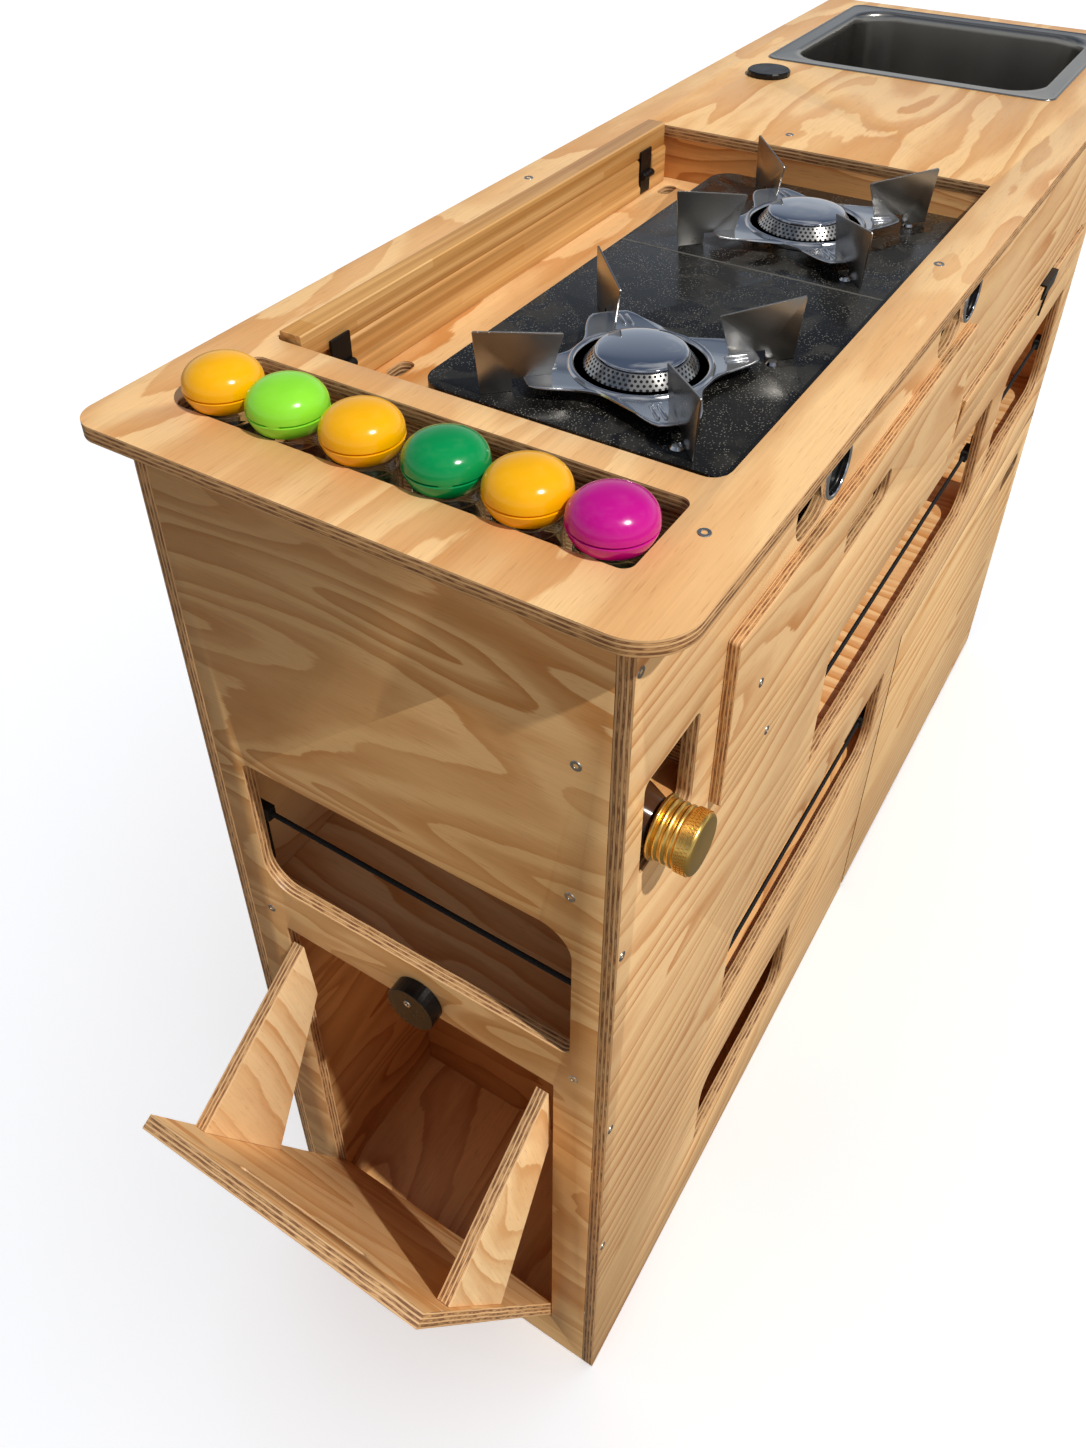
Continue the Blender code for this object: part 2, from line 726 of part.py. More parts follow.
board_relief_low = RAIL_TOP - GAP
board_relief_x = rail_x - BOARD_RELIEF
board_relief_end = rail_x + rail_length + BOARD_RELIEF
sheet(
    "back_panel",
    "XZ",
    [
        filleted(
            [
                (0.0, 0.0, 0.0),
                (LENGTH, 0.0, 0.0),
                (LENGTH, panel_top, 0.0),
                (board_relief_end, panel_top, 0.0),
                (board_relief_end, board_relief_low, 0.0),
                (board_relief_x, board_relief_low, 0.0),
                (board_relief_x, panel_top, 0.0),
                (0.0, panel_top, 0.0),
            ]
        )
    ],
    DEPTH - PLY,
    DEPTH,
    ply_wood,
)

box(
    "base_panel",
    (inner_left, inner_front, 0.0),
    (inner_right, inner_back, BASE_THICKNESS),
    inner_wood,
)
bin_bay_end = BIN_DIVIDER_X - GAP
upper_shelf_low = UPPER_SHELF_TOP - PLY
drawer_shelf_low = DRAWER_SHELF_TOP - PLY
box(
    "bin_divider",
    (BIN_DIVIDER_X, inner_front, floor),
    (BIN_DIVIDER_X + PLY, inner_back, upper_shelf_low - GAP),
    inner_wood,
)
box(
    "bin_side_panel",
    (inner_left, DEPTH - BIN_SIDE_INSET - PLY, floor),
    (bin_bay_end, DEPTH - BIN_SIDE_INSET, upper_shelf_low - GAP),
    inner_wood,
)
lower_shelf_low = LOWER_SHELF_TOP - PLY
shelf_start = BIN_DIVIDER_X + PLY + GAP
sheet(
    "cupboard_frame",
    "XZ",
    [
        filleted(
            [
                (shelf_start, lower_shelf_low, 0.0),
                (MIDDLE_DIVIDER_X, lower_shelf_low, 0.0),
                (MIDDLE_DIVIDER_X, floor, 0.0),
                (MIDDLE_DIVIDER_X + PLY, floor, 0.0),
                (MIDDLE_DIVIDER_X + PLY, upper_shelf_low - GAP, 0.0),
                (MIDDLE_DIVIDER_X, upper_shelf_low - GAP, 0.0),
                (MIDDLE_DIVIDER_X, LOWER_SHELF_TOP, 0.0),
                (shelf_start, LOWER_SHELF_TOP, 0.0),
            ]
        )
    ],
    inner_front,
    inner_back,
    inner_wood,
)
box(
    "upper_shelf",
    (inner_left, inner_front, upper_shelf_low),
    (inner_right, inner_back, UPPER_SHELF_TOP),
    inner_wood,
)
box(
    "drawer_shelf",
    (inner_left, inner_front, drawer_shelf_low),
    (inner_right, inner_back, DRAWER_SHELF_TOP),
    inner_wood,
)
box(
    "bay_divider",
    (BAY_DIVIDER_X, inner_front, UPPER_SHELF_TOP + GAP),
    (BAY_DIVIDER_X + PLY, inner_back, drawer_shelf_low - GAP),
    inner_wood,
)
box(
    "sink_divider",
    (sink_divider_x, inner_front, DRAWER_SHELF_TOP + GAP),
    (sink_divider_x + PLY, inner_back, panel_top),
    inner_wood,
)
sheet(
    "jar_bay",
    "XZ",
    [
        filleted(
            [
                (JAR_DIVIDER_X, DRAWER_SHELF_TOP + GAP, 0.0),
                (JAR_DIVIDER_X + PLY, DRAWER_SHELF_TOP + GAP, 0.0),
                (JAR_DIVIDER_X + PLY, panel_top, 0.0),
                (JAR_DIVIDER_X, panel_top, 0.0),
                (JAR_DIVIDER_X, JAR_SHELF_TOP, 0.0),
                (inner_left, JAR_SHELF_TOP, 0.0),
                (inner_left, JAR_SHELF_TOP - PLY, 0.0),
                (JAR_DIVIDER_X, JAR_SHELF_TOP - PLY, 0.0),
                (JAR_DIVIDER_X, BOTTLE_SHELF_TOP, 0.0),
                (inner_left, BOTTLE_SHELF_TOP, 0.0),
                (inner_left, BOTTLE_SHELF_TOP - PLY, 0.0),
                (JAR_DIVIDER_X, BOTTLE_SHELF_TOP - PLY, 0.0),
            ]
        )
    ],
    inner_front,
    inner_back,
    inner_wood,
)

# the deck the hob stands on, open at the front for the hob's housing
housing_x = hob_x + HOB_HOUSING_INSET_X
housing_end = hob_x + HOB_WIDTH - HOB_HOUSING_INSET_X
housing_back = HOB_Y + HOB_DEPTH - HOB_HOUSING_INSET_BACK
housing_low = HOB_TOP - HOB_HOUSING_BELOW - PLY
deck_left = JAR_DIVIDER_X + PLY + GAP
deck_right = sink_divider_x - GAP
deck_cut_left = housing_x - CUTOUT_CLEARANCE
deck_cut_right = housing_end + CUTOUT_CLEARANCE
deck_cut_back = housing_back + CUTOUT_CLEARANCE
deck_slots = [
    rectangle(
        slot_x - DECK_SLOT_LENGTH / 2,
        DECK_SLOT_Y - DECK_SLOT_WIDTH / 2,
        DECK_SLOT_LENGTH,
        DECK_SLOT_WIDTH,
        DECK_SLOT_WIDTH / 2 - GAP,
    )
    for slot_x in (RECESS_X + DECK_SLOT_NEAR_INSET, recess_end - DECK_SLOT_FAR_INSET)
]
sheet(
    "hob_deck",
    "XY",
    [
        filleted(
            [
                (deck_left, inner_front, 0.0),
                (deck_cut_left, inner_front, 0.0),
                (deck_cut_left, deck_cut_back, 0.0),
                (deck_cut_right, deck_cut_back, 0.0),
                (deck_cut_right, inner_front, 0.0),
                (deck_right, inner_front, 0.0),
                (deck_right, inner_back, 0.0),
                (deck_left, inner_back, 0.0),
            ]
        ),
        *deck_slots,
    ],
    DECK_TOP - PLY,
    DECK_TOP,
    ply_wood,
)

# ---------------------------------------------------------------- bamboo rail, its straps and the board
rail_low = DECK_TOP + GAP
rail = sheet(
    "board_rail",
    "YZ",
    [rectangle(RAIL_Y, rail_low, RAIL_THICKNESS, RAIL_TOP - rail_low, (0.0, 0.0, 0.0, RAIL_EDGE))],
    rail_x,
    rail_x + rail_length,
    bamboo,
)
strap_back = RAIL_Y + STRAP_SLOT_DEPTH
strap_front = strap_back - GAP - STRAP_THICKNESS
for side, strap_x in (
    ("near", rail_x + STRAP_NEAR_INSET),
    ("far", rail_x + rail_length - STRAP_FAR_INSET),
):
    slot = sheet(
        "strap_slot_" + side,
        "XZ",
        [
            rectangle(
                strap_x - STRAP_SLOT_WIDTH / 2,
                rail_low + STRAP_SLOT_FOOT,
                STRAP_SLOT_WIDTH,
                RAIL_TOP + OVERRUN - rail_low - STRAP_SLOT_FOOT,
                (STRAP_SLOT_WIDTH / 2 - GAP, STRAP_SLOT_WIDTH / 2 - GAP, 0.0, 0.0),
            )
        ],
        RAIL_Y - OVERRUN,
        strap_back,
        None,
        collection=cutters,
    )
    combine(rail, slot, "DIFFERENCE")
    strap_high = RAIL_TOP - GAP
    strap = box(
        "strap_hinge_" + side,
        (strap_x - STRAP_WIDTH / 2, strap_front, strap_high - STRAP_LENGTH),
        (strap_x + STRAP_WIDTH / 2, strap_back - GAP, strap_high),
        black_steel,
    )
    knuckle_z = strap_high - STRAP_KNUCKLE_DROP
    knuckle = sheet(
        "strap_knuckle_" + side,
        "YZ",
        [
            filleted(
                [
                    (strap_front + STRAP_THICKNESS / 2, knuckle_z - STRAP_KNUCKLE, 0.0),
                    (strap_front + STRAP_THICKNESS / 2, knuckle_z + STRAP_KNUCKLE, 0.0),
                    (strap_front - 2 * STRAP_KNUCKLE, knuckle_z + STRAP_KNUCKLE, STRAP_KNUCKLE - GAP),
                    (strap_front - 2 * STRAP_KNUCKLE, knuckle_z - STRAP_KNUCKLE, STRAP_KNUCKLE - GAP),
                ]
            )
        ],
        strap_x - STRAP_WIDTH / 4,
        strap_x + STRAP_WIDTH / 2 - GAP,
        None,
        collection=cutters,
    )
    combine(strap, knuckle, "UNION")

board_low = RAIL_TOP + GAP
board_origin = (rail_x + rail_length / 2, BOARD_Y + BOARD_THICKNESS / 2, board_low)
sheet(
    "cover_board",
    "YZ",
    [
        rectangle(
            BOARD_Y,
            board_low,
            BOARD_THICKNESS,
            BOARD_TOP - board_low,
            (0.0, 0.0, BOARD_EDGE, BOARD_EDGE),
        )
    ],
    rail_x,
    rail_x + rail_length,
    bamboo,
    board_origin,
)

# ---------------------------------------------------------------- hob
hob_origin = (hob_x + HOB_WIDTH / 2, HOB_Y + HOB_DEPTH / 2, HOB_TOP)
hob = sheet(
    "hob_body",
    "XY",
    [rectangle(hob_x, HOB_Y, HOB_WIDTH, HOB_DEPTH, (HOB_LEDGE, HOB_LEDGE, HOB_RADIUS, HOB_RADIUS))],
    DECK_TOP + GAP,
    HOB_TOP,
    enamel,
    hob_origin,
)
housing = box(
    "hob_housing",
    (housing_x, HOB_Y + HOB_LEDGE / 2, housing_low),
    (housing_end, housing_back, HOB_TOP - HOB_LEDGE),
    None,
    collection=cutters,
)
combine(hob, housing, "UNION")


def burner_holes(name, place):
    """Rows of small holes square to the ring's sloping band."""
    run = RING_BAND_RADIUS - RING_TOP_RADIUS
    rise = RING_TOP_Z - RING_BAND_Z
    slope = math.atan2(run, rise)
    mesh = bpy.data.meshes.new(name)
    work = bmesh.new()
    for row, share in enumerate(RING_HOLE_ROW_SHARES):
        for k in range(RING_HOLES):
            turn = 2 * math.pi * (k + row / 2) / RING_HOLES
            radius = RING_BAND_RADIUS - run * share - RING_WALL / 2
            height = RING_BAND_Z + rise * share
            lay = Matrix.Rotation(turn, 4, "Z") @ Matrix.Translation((radius, 0.0, height))
            lay = lay @ Matrix.Rotation(math.pi / 2 - slope, 4, "Y")
            bmesh.ops.create_cone(
                work,
                cap_ends=True,
                segments=RING_HOLE_SIDES,
                radius1=RING_HOLE_RADIUS,
                radius2=RING_HOLE_RADIUS,
                depth=2 * RING_HOLE_REACH,
                matrix=lay,
            )
    work.to_mesh(mesh)
    work.free()
    return add_object(name, mesh, None, place, cutters)


def drip_outline(x, y):
    points = []
    for k in range(DRIP_POINTS):
        turn = 2 * math.pi * k / DRIP_POINTS
        lobe = abs(math.sin(2 * turn)) ** DRIP_SHARPNESS
        reach = DRIP_WAIST + (DRIP_POINT - DRIP_WAIST) * lobe
        points.append(Vector((x + reach * math.cos(turn), y + reach * math.sin(turn))))
    return points


for side, burner_x in (("near", burner_x_near), ("far", burner_x_far)):
    foot = HOB_TOP + GAP
    place = (burner_x, BURNER_Y, foot)
    support = sheet(
        "pan_support_" + side,
        "XY",
        [drip_outline(burner_x, BURNER_Y), circle(burner_x, BURNER_Y, DRIP_BORE, RING_STEPS)],
        foot + DRIP_Z,
        foot + DRIP_Z + DRIP_THICKNESS,
        steel,
        place,
    )
    collar = turned(
        "drip_collar_" + side,
        [
            (DRIP_BORE + DRIP_COLLAR, DRIP_Z + DRIP_THICKNESS / 2),
            (DRIP_BORE + DRIP_COLLAR, 0.0),
            (DRIP_BORE + GAP, 0.0),
            (DRIP_BORE + GAP, DRIP_Z + DRIP_THICKNESS / 2),
        ],
        None,
        place,
        steps=RING_STEPS,
        collection=cutters,
    )
    combine(support, collar, "UNION")
    for k in range(4):
        blade = sheet(
            "blade_%s_%d" % (side, k),
            "XZ",
            [
                filleted(
                    [
                        (BLADE_OUTER, BLADE_OUTER_TOP, DRIP_THICKNESS),
                        (BLADE_INNER, BLADE_INNER_TOP, DRIP_THICKNESS),
                        (BLADE_HEEL, DRIP_Z + DRIP_THICKNESS / 2, 0.0),
                        (BLADE_FOOT_INNER, DRIP_Z + DRIP_THICKNESS / 2, 0.0),
                        (BLADE_FOOT_INNER, 0.0, 0.0),
                        (BLADE_FOOT_OUTER, 0.0, 0.0),
                    ]
                )
            ],
            -BLADE_THICKNESS / 2,
            BLADE_THICKNESS / 2,
            None,
            collection=cutters,
        )
        blade.location = pod(*place)
        blade.rotation_euler = (0.0, 0.0, math.radians(45.0 + 90.0 * k))
        combine(support, blade, "UNION")

    ring = turned(
        "burner_ring_" + side,
        [
            (RING_TOP_RADIUS, RING_TOP_Z),
            (RING_BAND_RADIUS, RING_BAND_Z),
            (RING_LIP_RADIUS, RING_LIP_Z + RING_LIP_HEIGHT),
            (RING_LIP_RADIUS, RING_LIP_Z),
            (RING_FOOT_RADIUS, RING_LIP_Z - RING_WALL),
            (RING_FOOT_RADIUS, 0.0),
            (RING_FOOT_RADIUS - RING_WALL, 0.0),
            (RING_FOOT_RADIUS - RING_WALL, RING_LIP_Z),
            (RING_BAND_RADIUS - 2 * RING_WALL, RING_BAND_Z),
            (RING_TOP_RADIUS - RING_WALL, RING_TOP_Z),
        ],
        steel,
        place,
        steps=RING_STEPS,
    )
    combine(ring, burner_holes("ring_holes_" + side, place), "DIFFERENCE")
    turned(
        "burner_cap_" + side,
        [
            (0.0, CAP_EDGE + CAP_DOME),
            *arc(0.0, CAP_EDGE + CAP_DOME, CAP_RADIUS, CAP_EDGE),
            (CAP_RADIUS, 0.0),
            (0.0, 0.0),
        ],
        mirror_steel,
        (burner_x, BURNER_Y, foot + RING_TOP_Z + GAP),
        steps=RING_STEPS,
    )

knob_back = KNOB_LENGTH - KNOB_FRONT
shaft_length = HOB_Y - knob_back - GAP
for side, knob_x in (("near", knob_x_near), ("far", knob_x_far)):
    turned(
        "hob_knob_" + side,
        [
            (0.0, KNOB_LENGTH - KNOB_FACE_RECESS),
            (KNOB_FACE_RADIUS, KNOB_LENGTH - KNOB_FACE_RECESS),
            (KNOB_FACE_RADIUS + KNOB_FACE_RECESS / 2, KNOB_LENGTH),
            (KNOB_RADIUS - KNOB_FACE_RECESS / 2, KNOB_LENGTH),
            (KNOB_RADIUS, KNOB_LENGTH - KNOB_FACE_RECESS / 2),
            (KNOB_RADIUS, KNOB_LENGTH - KNOB_RIM),
            (KNOB_WAIST, KNOB_LENGTH - 2 * KNOB_RIM),
            (KNOB_WAIST, 0.0),
            (KNOB_SHAFT_RADIUS, 0.0),
            (KNOB_SHAFT_RADIUS, -shaft_length),
            (0.0, -shaft_length),
        ],
        black_plastic,
        (knob_x, knob_back, KNOB_Z),
        FACE_FRONT,
    )

# ---------------------------------------------------------------- sink and tap-hole cap


def rim_ring(work, inset, radius, height):
    """One loop of the bowl: a rounded rectangle drawn in by an inset."""
    x_low = SINK_X + inset
    x_high = SINK_X + SINK_LENGTH - inset
    y_low = SINK_Y + inset
    y_high = SINK_Y + SINK_WIDTH - inset
    centres = (
        (x_high - radius, y_low + radius, -math.pi / 2),
        (x_high - radius, y_high - radius, 0.0),
        (x_low + radius, y_high - radius, math.pi / 2),
        (x_low + radius, y_low + radius, math.pi),
    )
    loop = []
    for x, y, first in centres:
        for k in range(SINK_CORNER_STEPS):
            turn = first + math.pi / 2 * k / (SINK_CORNER_STEPS - 1)
            place = pod(x + radius * math.cos(turn), y + radius * math.sin(turn), height)
            loop.append(work.verts.new(place))
    return loop


def waste_ring(work, height):
    """A round loop at the bowl's middle, in step with the rounded rectangles."""
    x = SINK_X + SINK_LENGTH / 2
    y = SINK_Y + SINK_WIDTH / 2
    count = 4 * SINK_CORNER_STEPS
    loop = []
    for k in range(count):
        turn = -math.pi / 2 + 2 * math.pi * (k + 0.5) / count
        place = pod(x + WASTE_RADIUS * math.cos(turn), y + WASTE_RADIUS * math.sin(turn), height)
        loop.append(work.verts.new(place))
    return loop


rim_z = top_high + GAP + SINK_SHEET
floor_z = rim_z - SINK_BOWL_DEPTH
bowl = bmesh.new()
loops = [
    rim_ring(bowl, 0.0, SINK_RIM_RADIUS, rim_z),
    rim_ring(bowl, SINK_FLANGE, SINK_BOWL_RADIUS, rim_z),
    rim_ring(bowl, SINK_FLANGE + SINK_ROLL / 2, SINK_BOWL_RADIUS, rim_z - SINK_ROLL),
    rim_ring(bowl, SINK_FLANGE + SINK_TAPER, SINK_BOWL_RADIUS, floor_z + SINK_FLOOR_ROLL),
    rim_ring(bowl, SINK_FLANGE + SINK_TAPER + SINK_FLOOR_ROLL / 3, SINK_BOWL_RADIUS, floor_z + SINK_ROLL),
    rim_ring(bowl, SINK_FLANGE + SINK_TAPER + SINK_FLOOR_ROLL, SINK_FLOOR_RADIUS, floor_z),
    waste_ring(bowl, floor_z - SINK_FALL),
    waste_ring(bowl, floor_z - SINK_FALL - WASTE_LENGTH),
]
for upper, lower in zip(loops, loops[1:]):
    count = len(upper)
    for k in range(count):
        after = (k + 1) % count
        bowl.faces.new((upper[k], lower[k], lower[after], upper[after]))
bmesh.ops.recalc_face_normals(bowl, faces=bowl.faces)
sink_centre = pod(SINK_X + SINK_LENGTH / 2, SINK_Y + SINK_WIDTH / 2, rim_z)
bmesh.ops.translate(bowl, vec=-sink_centre, verts=bowl.verts)
bowl_mesh = bpy.data.meshes.new("sink_bowl")
bowl.to_mesh(bowl_mesh)
bowl.free()
sink = add_object(
    "sink_bowl", bowl_mesh, steel, (SINK_X + SINK_LENGTH / 2, SINK_Y + SINK_WIDTH / 2, rim_z)
)
up = sum(face.normal.z * face.area for face in bowl_mesh.polygons if abs(face.normal.z) > FLAT_SHARE)
wall = sink.modifiers.new("sheet", "SOLIDIFY")
wall.thickness = SINK_SHEET
wall.offset = -1.0 if up > 0 else 1.0
wall.use_even_offset = False

turned(
    "tap_hole_cap",
    [
        (0.0, TAP_CAP_HEIGHT),
        (TAP_CAP_RADIUS - TAP_CAP_ROUND, TAP_CAP_HEIGHT),
        (TAP_CAP_RADIUS, TAP_CAP_HEIGHT - TAP_CAP_ROUND),
        (TAP_CAP_RADIUS, 0.0),
        (TAP_HOLE_RADIUS - 2 * GAP, 0.0),
        (TAP_HOLE_RADIUS - 2 * GAP, -TAP_PLUG_LENGTH),
        (0.0, -TAP_PLUG_LENGTH),
    ],
    black_plastic,
    (TAP_X, TAP_Y, top_high + GAP),
)

# ---------------------------------------------------------------- drawer
box_x = drawer_open_x + DRAWER_CLEARANCE
box_end = drawer_open_x + drawer_open_width - DRAWER_CLEARANCE
box_low = drawer_open_z + DRAWER_CLEARANCE
box_back = DRAWER_BOX_LENGTH
drawer_origin = (DRAWER_FRONT_X + drawer_front_width / 2, 0.0, box_low)
sheet(
    "drawer_front",
    "XZ",
    [
        rectangle(
            DRAWER_FRONT_X, DRAWER_FRONT_Z, drawer_front_width, DRAWER_FRONT_HEIGHT, DRAWER_CLEARANCE
        ),
        rectangle(
            DRAWER_FRONT_X + DRAWER_PULL_INSET,
            DRAWER_PULL_Z,
            DRAWER_PULL_WIDTH,
            DRAWER_PULL_HEIGHT,
            DRAWER_PULL_HEIGHT / 2 - GAP,
        ),
    ],
    -DRAWER_FRONT_THICKNESS - GAP,
    -GAP,
    ply_wood,
    drawer_origin,
)
tray = box(
    "drawer_box",
    (box_x, 0.0, box_low),
    (box_end, box_back, box_low + DRAWER_BOX_HEIGHT),
    inner_wood,
    drawer_origin,
)
hollow = box(
    "drawer_hollow",
    (box_x + DRAWER_SIDE, DRAWER_SIDE, box_low + DRAWER_BOTTOM),
    (box_end - DRAWER_SIDE, box_back - DRAWER_SIDE, box_low + DRAWER_BOX_HEIGHT + OVERRUN),
    None,
    collection=cutters,
)
combine(tray, hollow, "DIFFERENCE")
sheet(
    "drawer_runner",
    "XY",
    [
        filleted(
            [
                (box_x, inner_front, 0.0),
                (box_x + RUNNER_WIDTH, inner_front, 0.0),
                (box_x + RUNNER_WIDTH, box_back - RUNNER_BACK, 0.0),
                (box_end - RUNNER_WIDTH, box_back - RUNNER_BACK, 0.0),
                (box_end - RUNNER_WIDTH, inner_front, 0.0),
                (box_end, inner_front, 0.0),
                (box_end, box_back, 0.0),
                (box_x, box_back, 0.0),
            ]
        )
    ],
    DRAWER_SHELF_TOP + GAP,
    box_low - GAP,
    inner_wood,
)

# ---------------------------------------------------------------- sink flap with its pull
flap_left = sink_flap_x + SINK_FLAP_CLEARANCE
flap_right = sink_flap_x + sink_flap_width - SINK_FLAP_CLEARANCE
flap_low = SINK_FLAP_Z + SINK_FLAP_CLEARANCE
flap_high = SINK_FLAP_Z + SINK_FLAP_HEIGHT - SINK_FLAP_TOP_CLEARANCE
sink_flap_origin = ((flap_left + flap_right) / 2, 0.0, flap_low)
sink_flap_axis = bpy.data.objects.new("sink_flap_axis", None)
sink_flap_axis.location = pod(*sink_flap_origin)
sink_flap_axis.rotation_euler = (SINK_FLAP_LEAN, 0.0, 0.0)
parts.objects.link(sink_flap_axis)
sink_flap = box(
    "sink_flap",
    (flap_left, 0.0, flap_low),
    (flap_right, PLY, flap_high),
    ply_wood,
    sink_flap_origin,
)
pull_front = -GAP - PULL_THICKNESS
pull = sheet(
    "flap_pull",
    "YZ",
    [
        filleted(
            [
                (pull_front, flap_high - PULL_HEIGHT, 0.0),
                (-GAP, flap_high - PULL_HEIGHT, 0.0),
                (-GAP, flap_high + GAP, 0.0),
                (PULL_LIP, flap_high + GAP, 0.0),
                (PULL_LIP, flap_high + GAP + PULL_THICKNESS, 0.0),
                (pull_front, flap_high + GAP + PULL_THICKNESS, PULL_THICKNESS / 2),
            ]
        )
    ],
    pull_x,
    pull_x + PULL_WIDTH,
    black_plastic,
    sink_flap_origin,
)
cord_y = -GAP - PULL_CORD_RADIUS
pull_cord = tube(
    "flap_pull_cord",
    [
        (pull_x + PULL_WIDTH / 2, cord_y, flap_low + PULL_CORD_FOOT),
        (pull_x + PULL_WIDTH / 2, cord_y, flap_high - PULL_HEIGHT / 2),
    ],
    PULL_CORD_RADIUS,
    None,
    sink_flap_origin,
)
for piece in (sink_flap, pull, pull_cord):
    piece.parent = sink_flap_axis
    piece.location = (0.0, 0.0, 0.0)
combine(pull, pull_cord, "UNION")

# ---------------------------------------------------------------- cupboard door and its hinge
door_left = DOOR_X + DOOR_SIDE_GAP
door_high = DOOR_HEIGHT - DOOR_SIDE_GAP
sheet(
    "cupboard_door",
    "XZ",
    [
        rectangle(door_left, DOOR_FLOOR_GAP, LENGTH - door_left, door_high - DOOR_FLOOR_GAP),
        rectangle(
            DOOR_PULL_X, DOOR_PULL_Z, DOOR_PULL_WIDTH, DOOR_PULL_HEIGHT, DOOR_PULL_HEIGHT / 2 - GAP
        ),
    ],
    0.0,
    PLY,
    ply_wood,
    (door_left, 0.0, 0.0),
)
hinge_face = MIDDLE_DIVIDER_X + PLY + GAP
box(
    "door_hinge",
    (hinge_face, inner_front + DOOR_KNUCKLE_RADIUS, floor + DOOR_HINGE_MARGIN),
    (
        hinge_face + DOOR_HINGE_THICKNESS,
        inner_front + DOOR_KNUCKLE_RADIUS + DOOR_HINGE_WIDTH,
        DOOR_HEIGHT - DOOR_HINGE_MARGIN,
    ),
    steel,
)

# ---------------------------------------------------------------- tilt-out bin
flap_y = BIN_OPENING_Y + FLAP_SIDE_GAP
flap_width = BIN_OPENING_WIDTH - 2 * FLAP_SIDE_GAP
pivot_x = PLY / 2
bin_origin = (pivot_x, BIN_OPENING_Y + BIN_OPENING_WIDTH / 2, PIVOT_HEIGHT)
bin_axis = bpy.data.objects.new("bin_flap_axis", None)
bin_axis.location = pod(*bin_origin)
bin_axis.rotation_euler = (0.0, -FLAP_LEAN, 0.0)
parts.objects.link(bin_axis)
bin_flap = sheet(
    "bin_flap",
    "XZ",
    [
        rectangle(
            0.0,
            PIVOT_HEIGHT - pivot_x,
            PLY,
            FLAP_LENGTH + pivot_x,
            (pivot_x - GAP / 4, pivot_x - GAP / 4, 0.0, 0.0),
        ),
        circle(pivot_x, PIVOT_HEIGHT, PIVOT_ROD_RADIUS + GAP, ROUND_STEPS // 2),
    ],
    flap_y,
    flap_y + flap_width,
    ply_wood,
    bin_origin,
)
slot_z = PIVOT_HEIGHT + FINGER_SLOT_ALONG - FINGER_SLOT_WIDTH / 2
finger_slot = sheet(
    "bin_finger_slot",
    "YZ",
    [
        rectangle(
            bin_origin[1] - FINGER_SLOT_LENGTH / 2,
            slot_z,
            FINGER_SLOT_LENGTH,
            FINGER_SLOT_WIDTH,
            FINGER_SLOT_WIDTH / 2 - GAP,
        )
    ],
    -OVERRUN,
    PLY + OVERRUN,
    None,
    bin_origin,
    cutters,
)
cheek_face = pivot_x + GAP
cheek_outline = [
    (PLY + GAP, PIVOT_HEIGHT + CHEEK_FOOT_LOW, 0.0),
    (pivot_x + CHEEK_HEEL_OUT, PIVOT_HEIGHT + CHEEK_HEEL_ALONG, 0.0),
    (pivot_x + CHEEK_SPIKE_OUT, PIVOT_HEIGHT + CHEEK_SPIKE_ALONG, 0.0),
    (PLY + GAP, PIVOT_HEIGHT + CHEEK_FOOT_HIGH, 0.0),
]
cheeks = []
for side, cheek_y in (
    ("front", flap_y + CHEEK_INSET),
    ("back", flap_y + flap_width - CHEEK_INSET - CHEEK_THICKNESS),
):
    cheeks.append(
        sheet(
            "bin_cheek_" + side,
            "XZ",
            [filleted(cheek_outline)],
            cheek_y,
            cheek_y + CHEEK_THICKNESS,
            ply_wood,
            bin_origin,
        )
    )
for piece in (bin_flap, finger_slot, *cheeks):
    piece.parent = bin_axis
    piece.location = (0.0, 0.0, 0.0)
combine(bin_flap, finger_slot, "DIFFERENCE")

rod_front = BIN_OPENING_Y - PIVOT_SOCKET
rod_back = BIN_OPENING_Y + BIN_OPENING_WIDTH + PIVOT_SOCKET
tube(
    "bin_hinge_rod",
    [(pivot_x, rod_front + GAP, PIVOT_HEIGHT), (pivot_x, rod_back - GAP, PIVOT_HEIGHT)],
    PIVOT_ROD_RADIUS,
    steel,
    bin_origin,
)
sockets = tube(
    "bin_hinge_sockets",
    [(pivot_x, rod_front, PIVOT_HEIGHT), (pivot_x, rod_back, PIVOT_HEIGHT)],
    PIVOT_ROD_RADIUS + GAP,
    None,
    bin_origin,
)
combine(near_end, sockets, "DIFFERENCE")

button_origin = (-GAP, BUTTON_Y, BUTTON_PIVOT_Z)
button = sheet(
    "turn_button",
    "YZ",
    [circle(BUTTON_Y, BUTTON_PIVOT_Z - BUTTON_OFFSET, BUTTON_RADIUS, RING_STEPS)],
    -GAP - BUTTON_THICKNESS,
    -GAP,
    black_plastic,
    button_origin,
)
rounding = button.modifiers.new("edge", "BEVEL")
rounding.width = BUTTON_BEVEL
rounding.segments = 1
rounding.limit_method = "ANGLE"
rounding.angle_limit = math.radians(60.0)

# ---------------------------------------------------------------- elastic cords with their clips


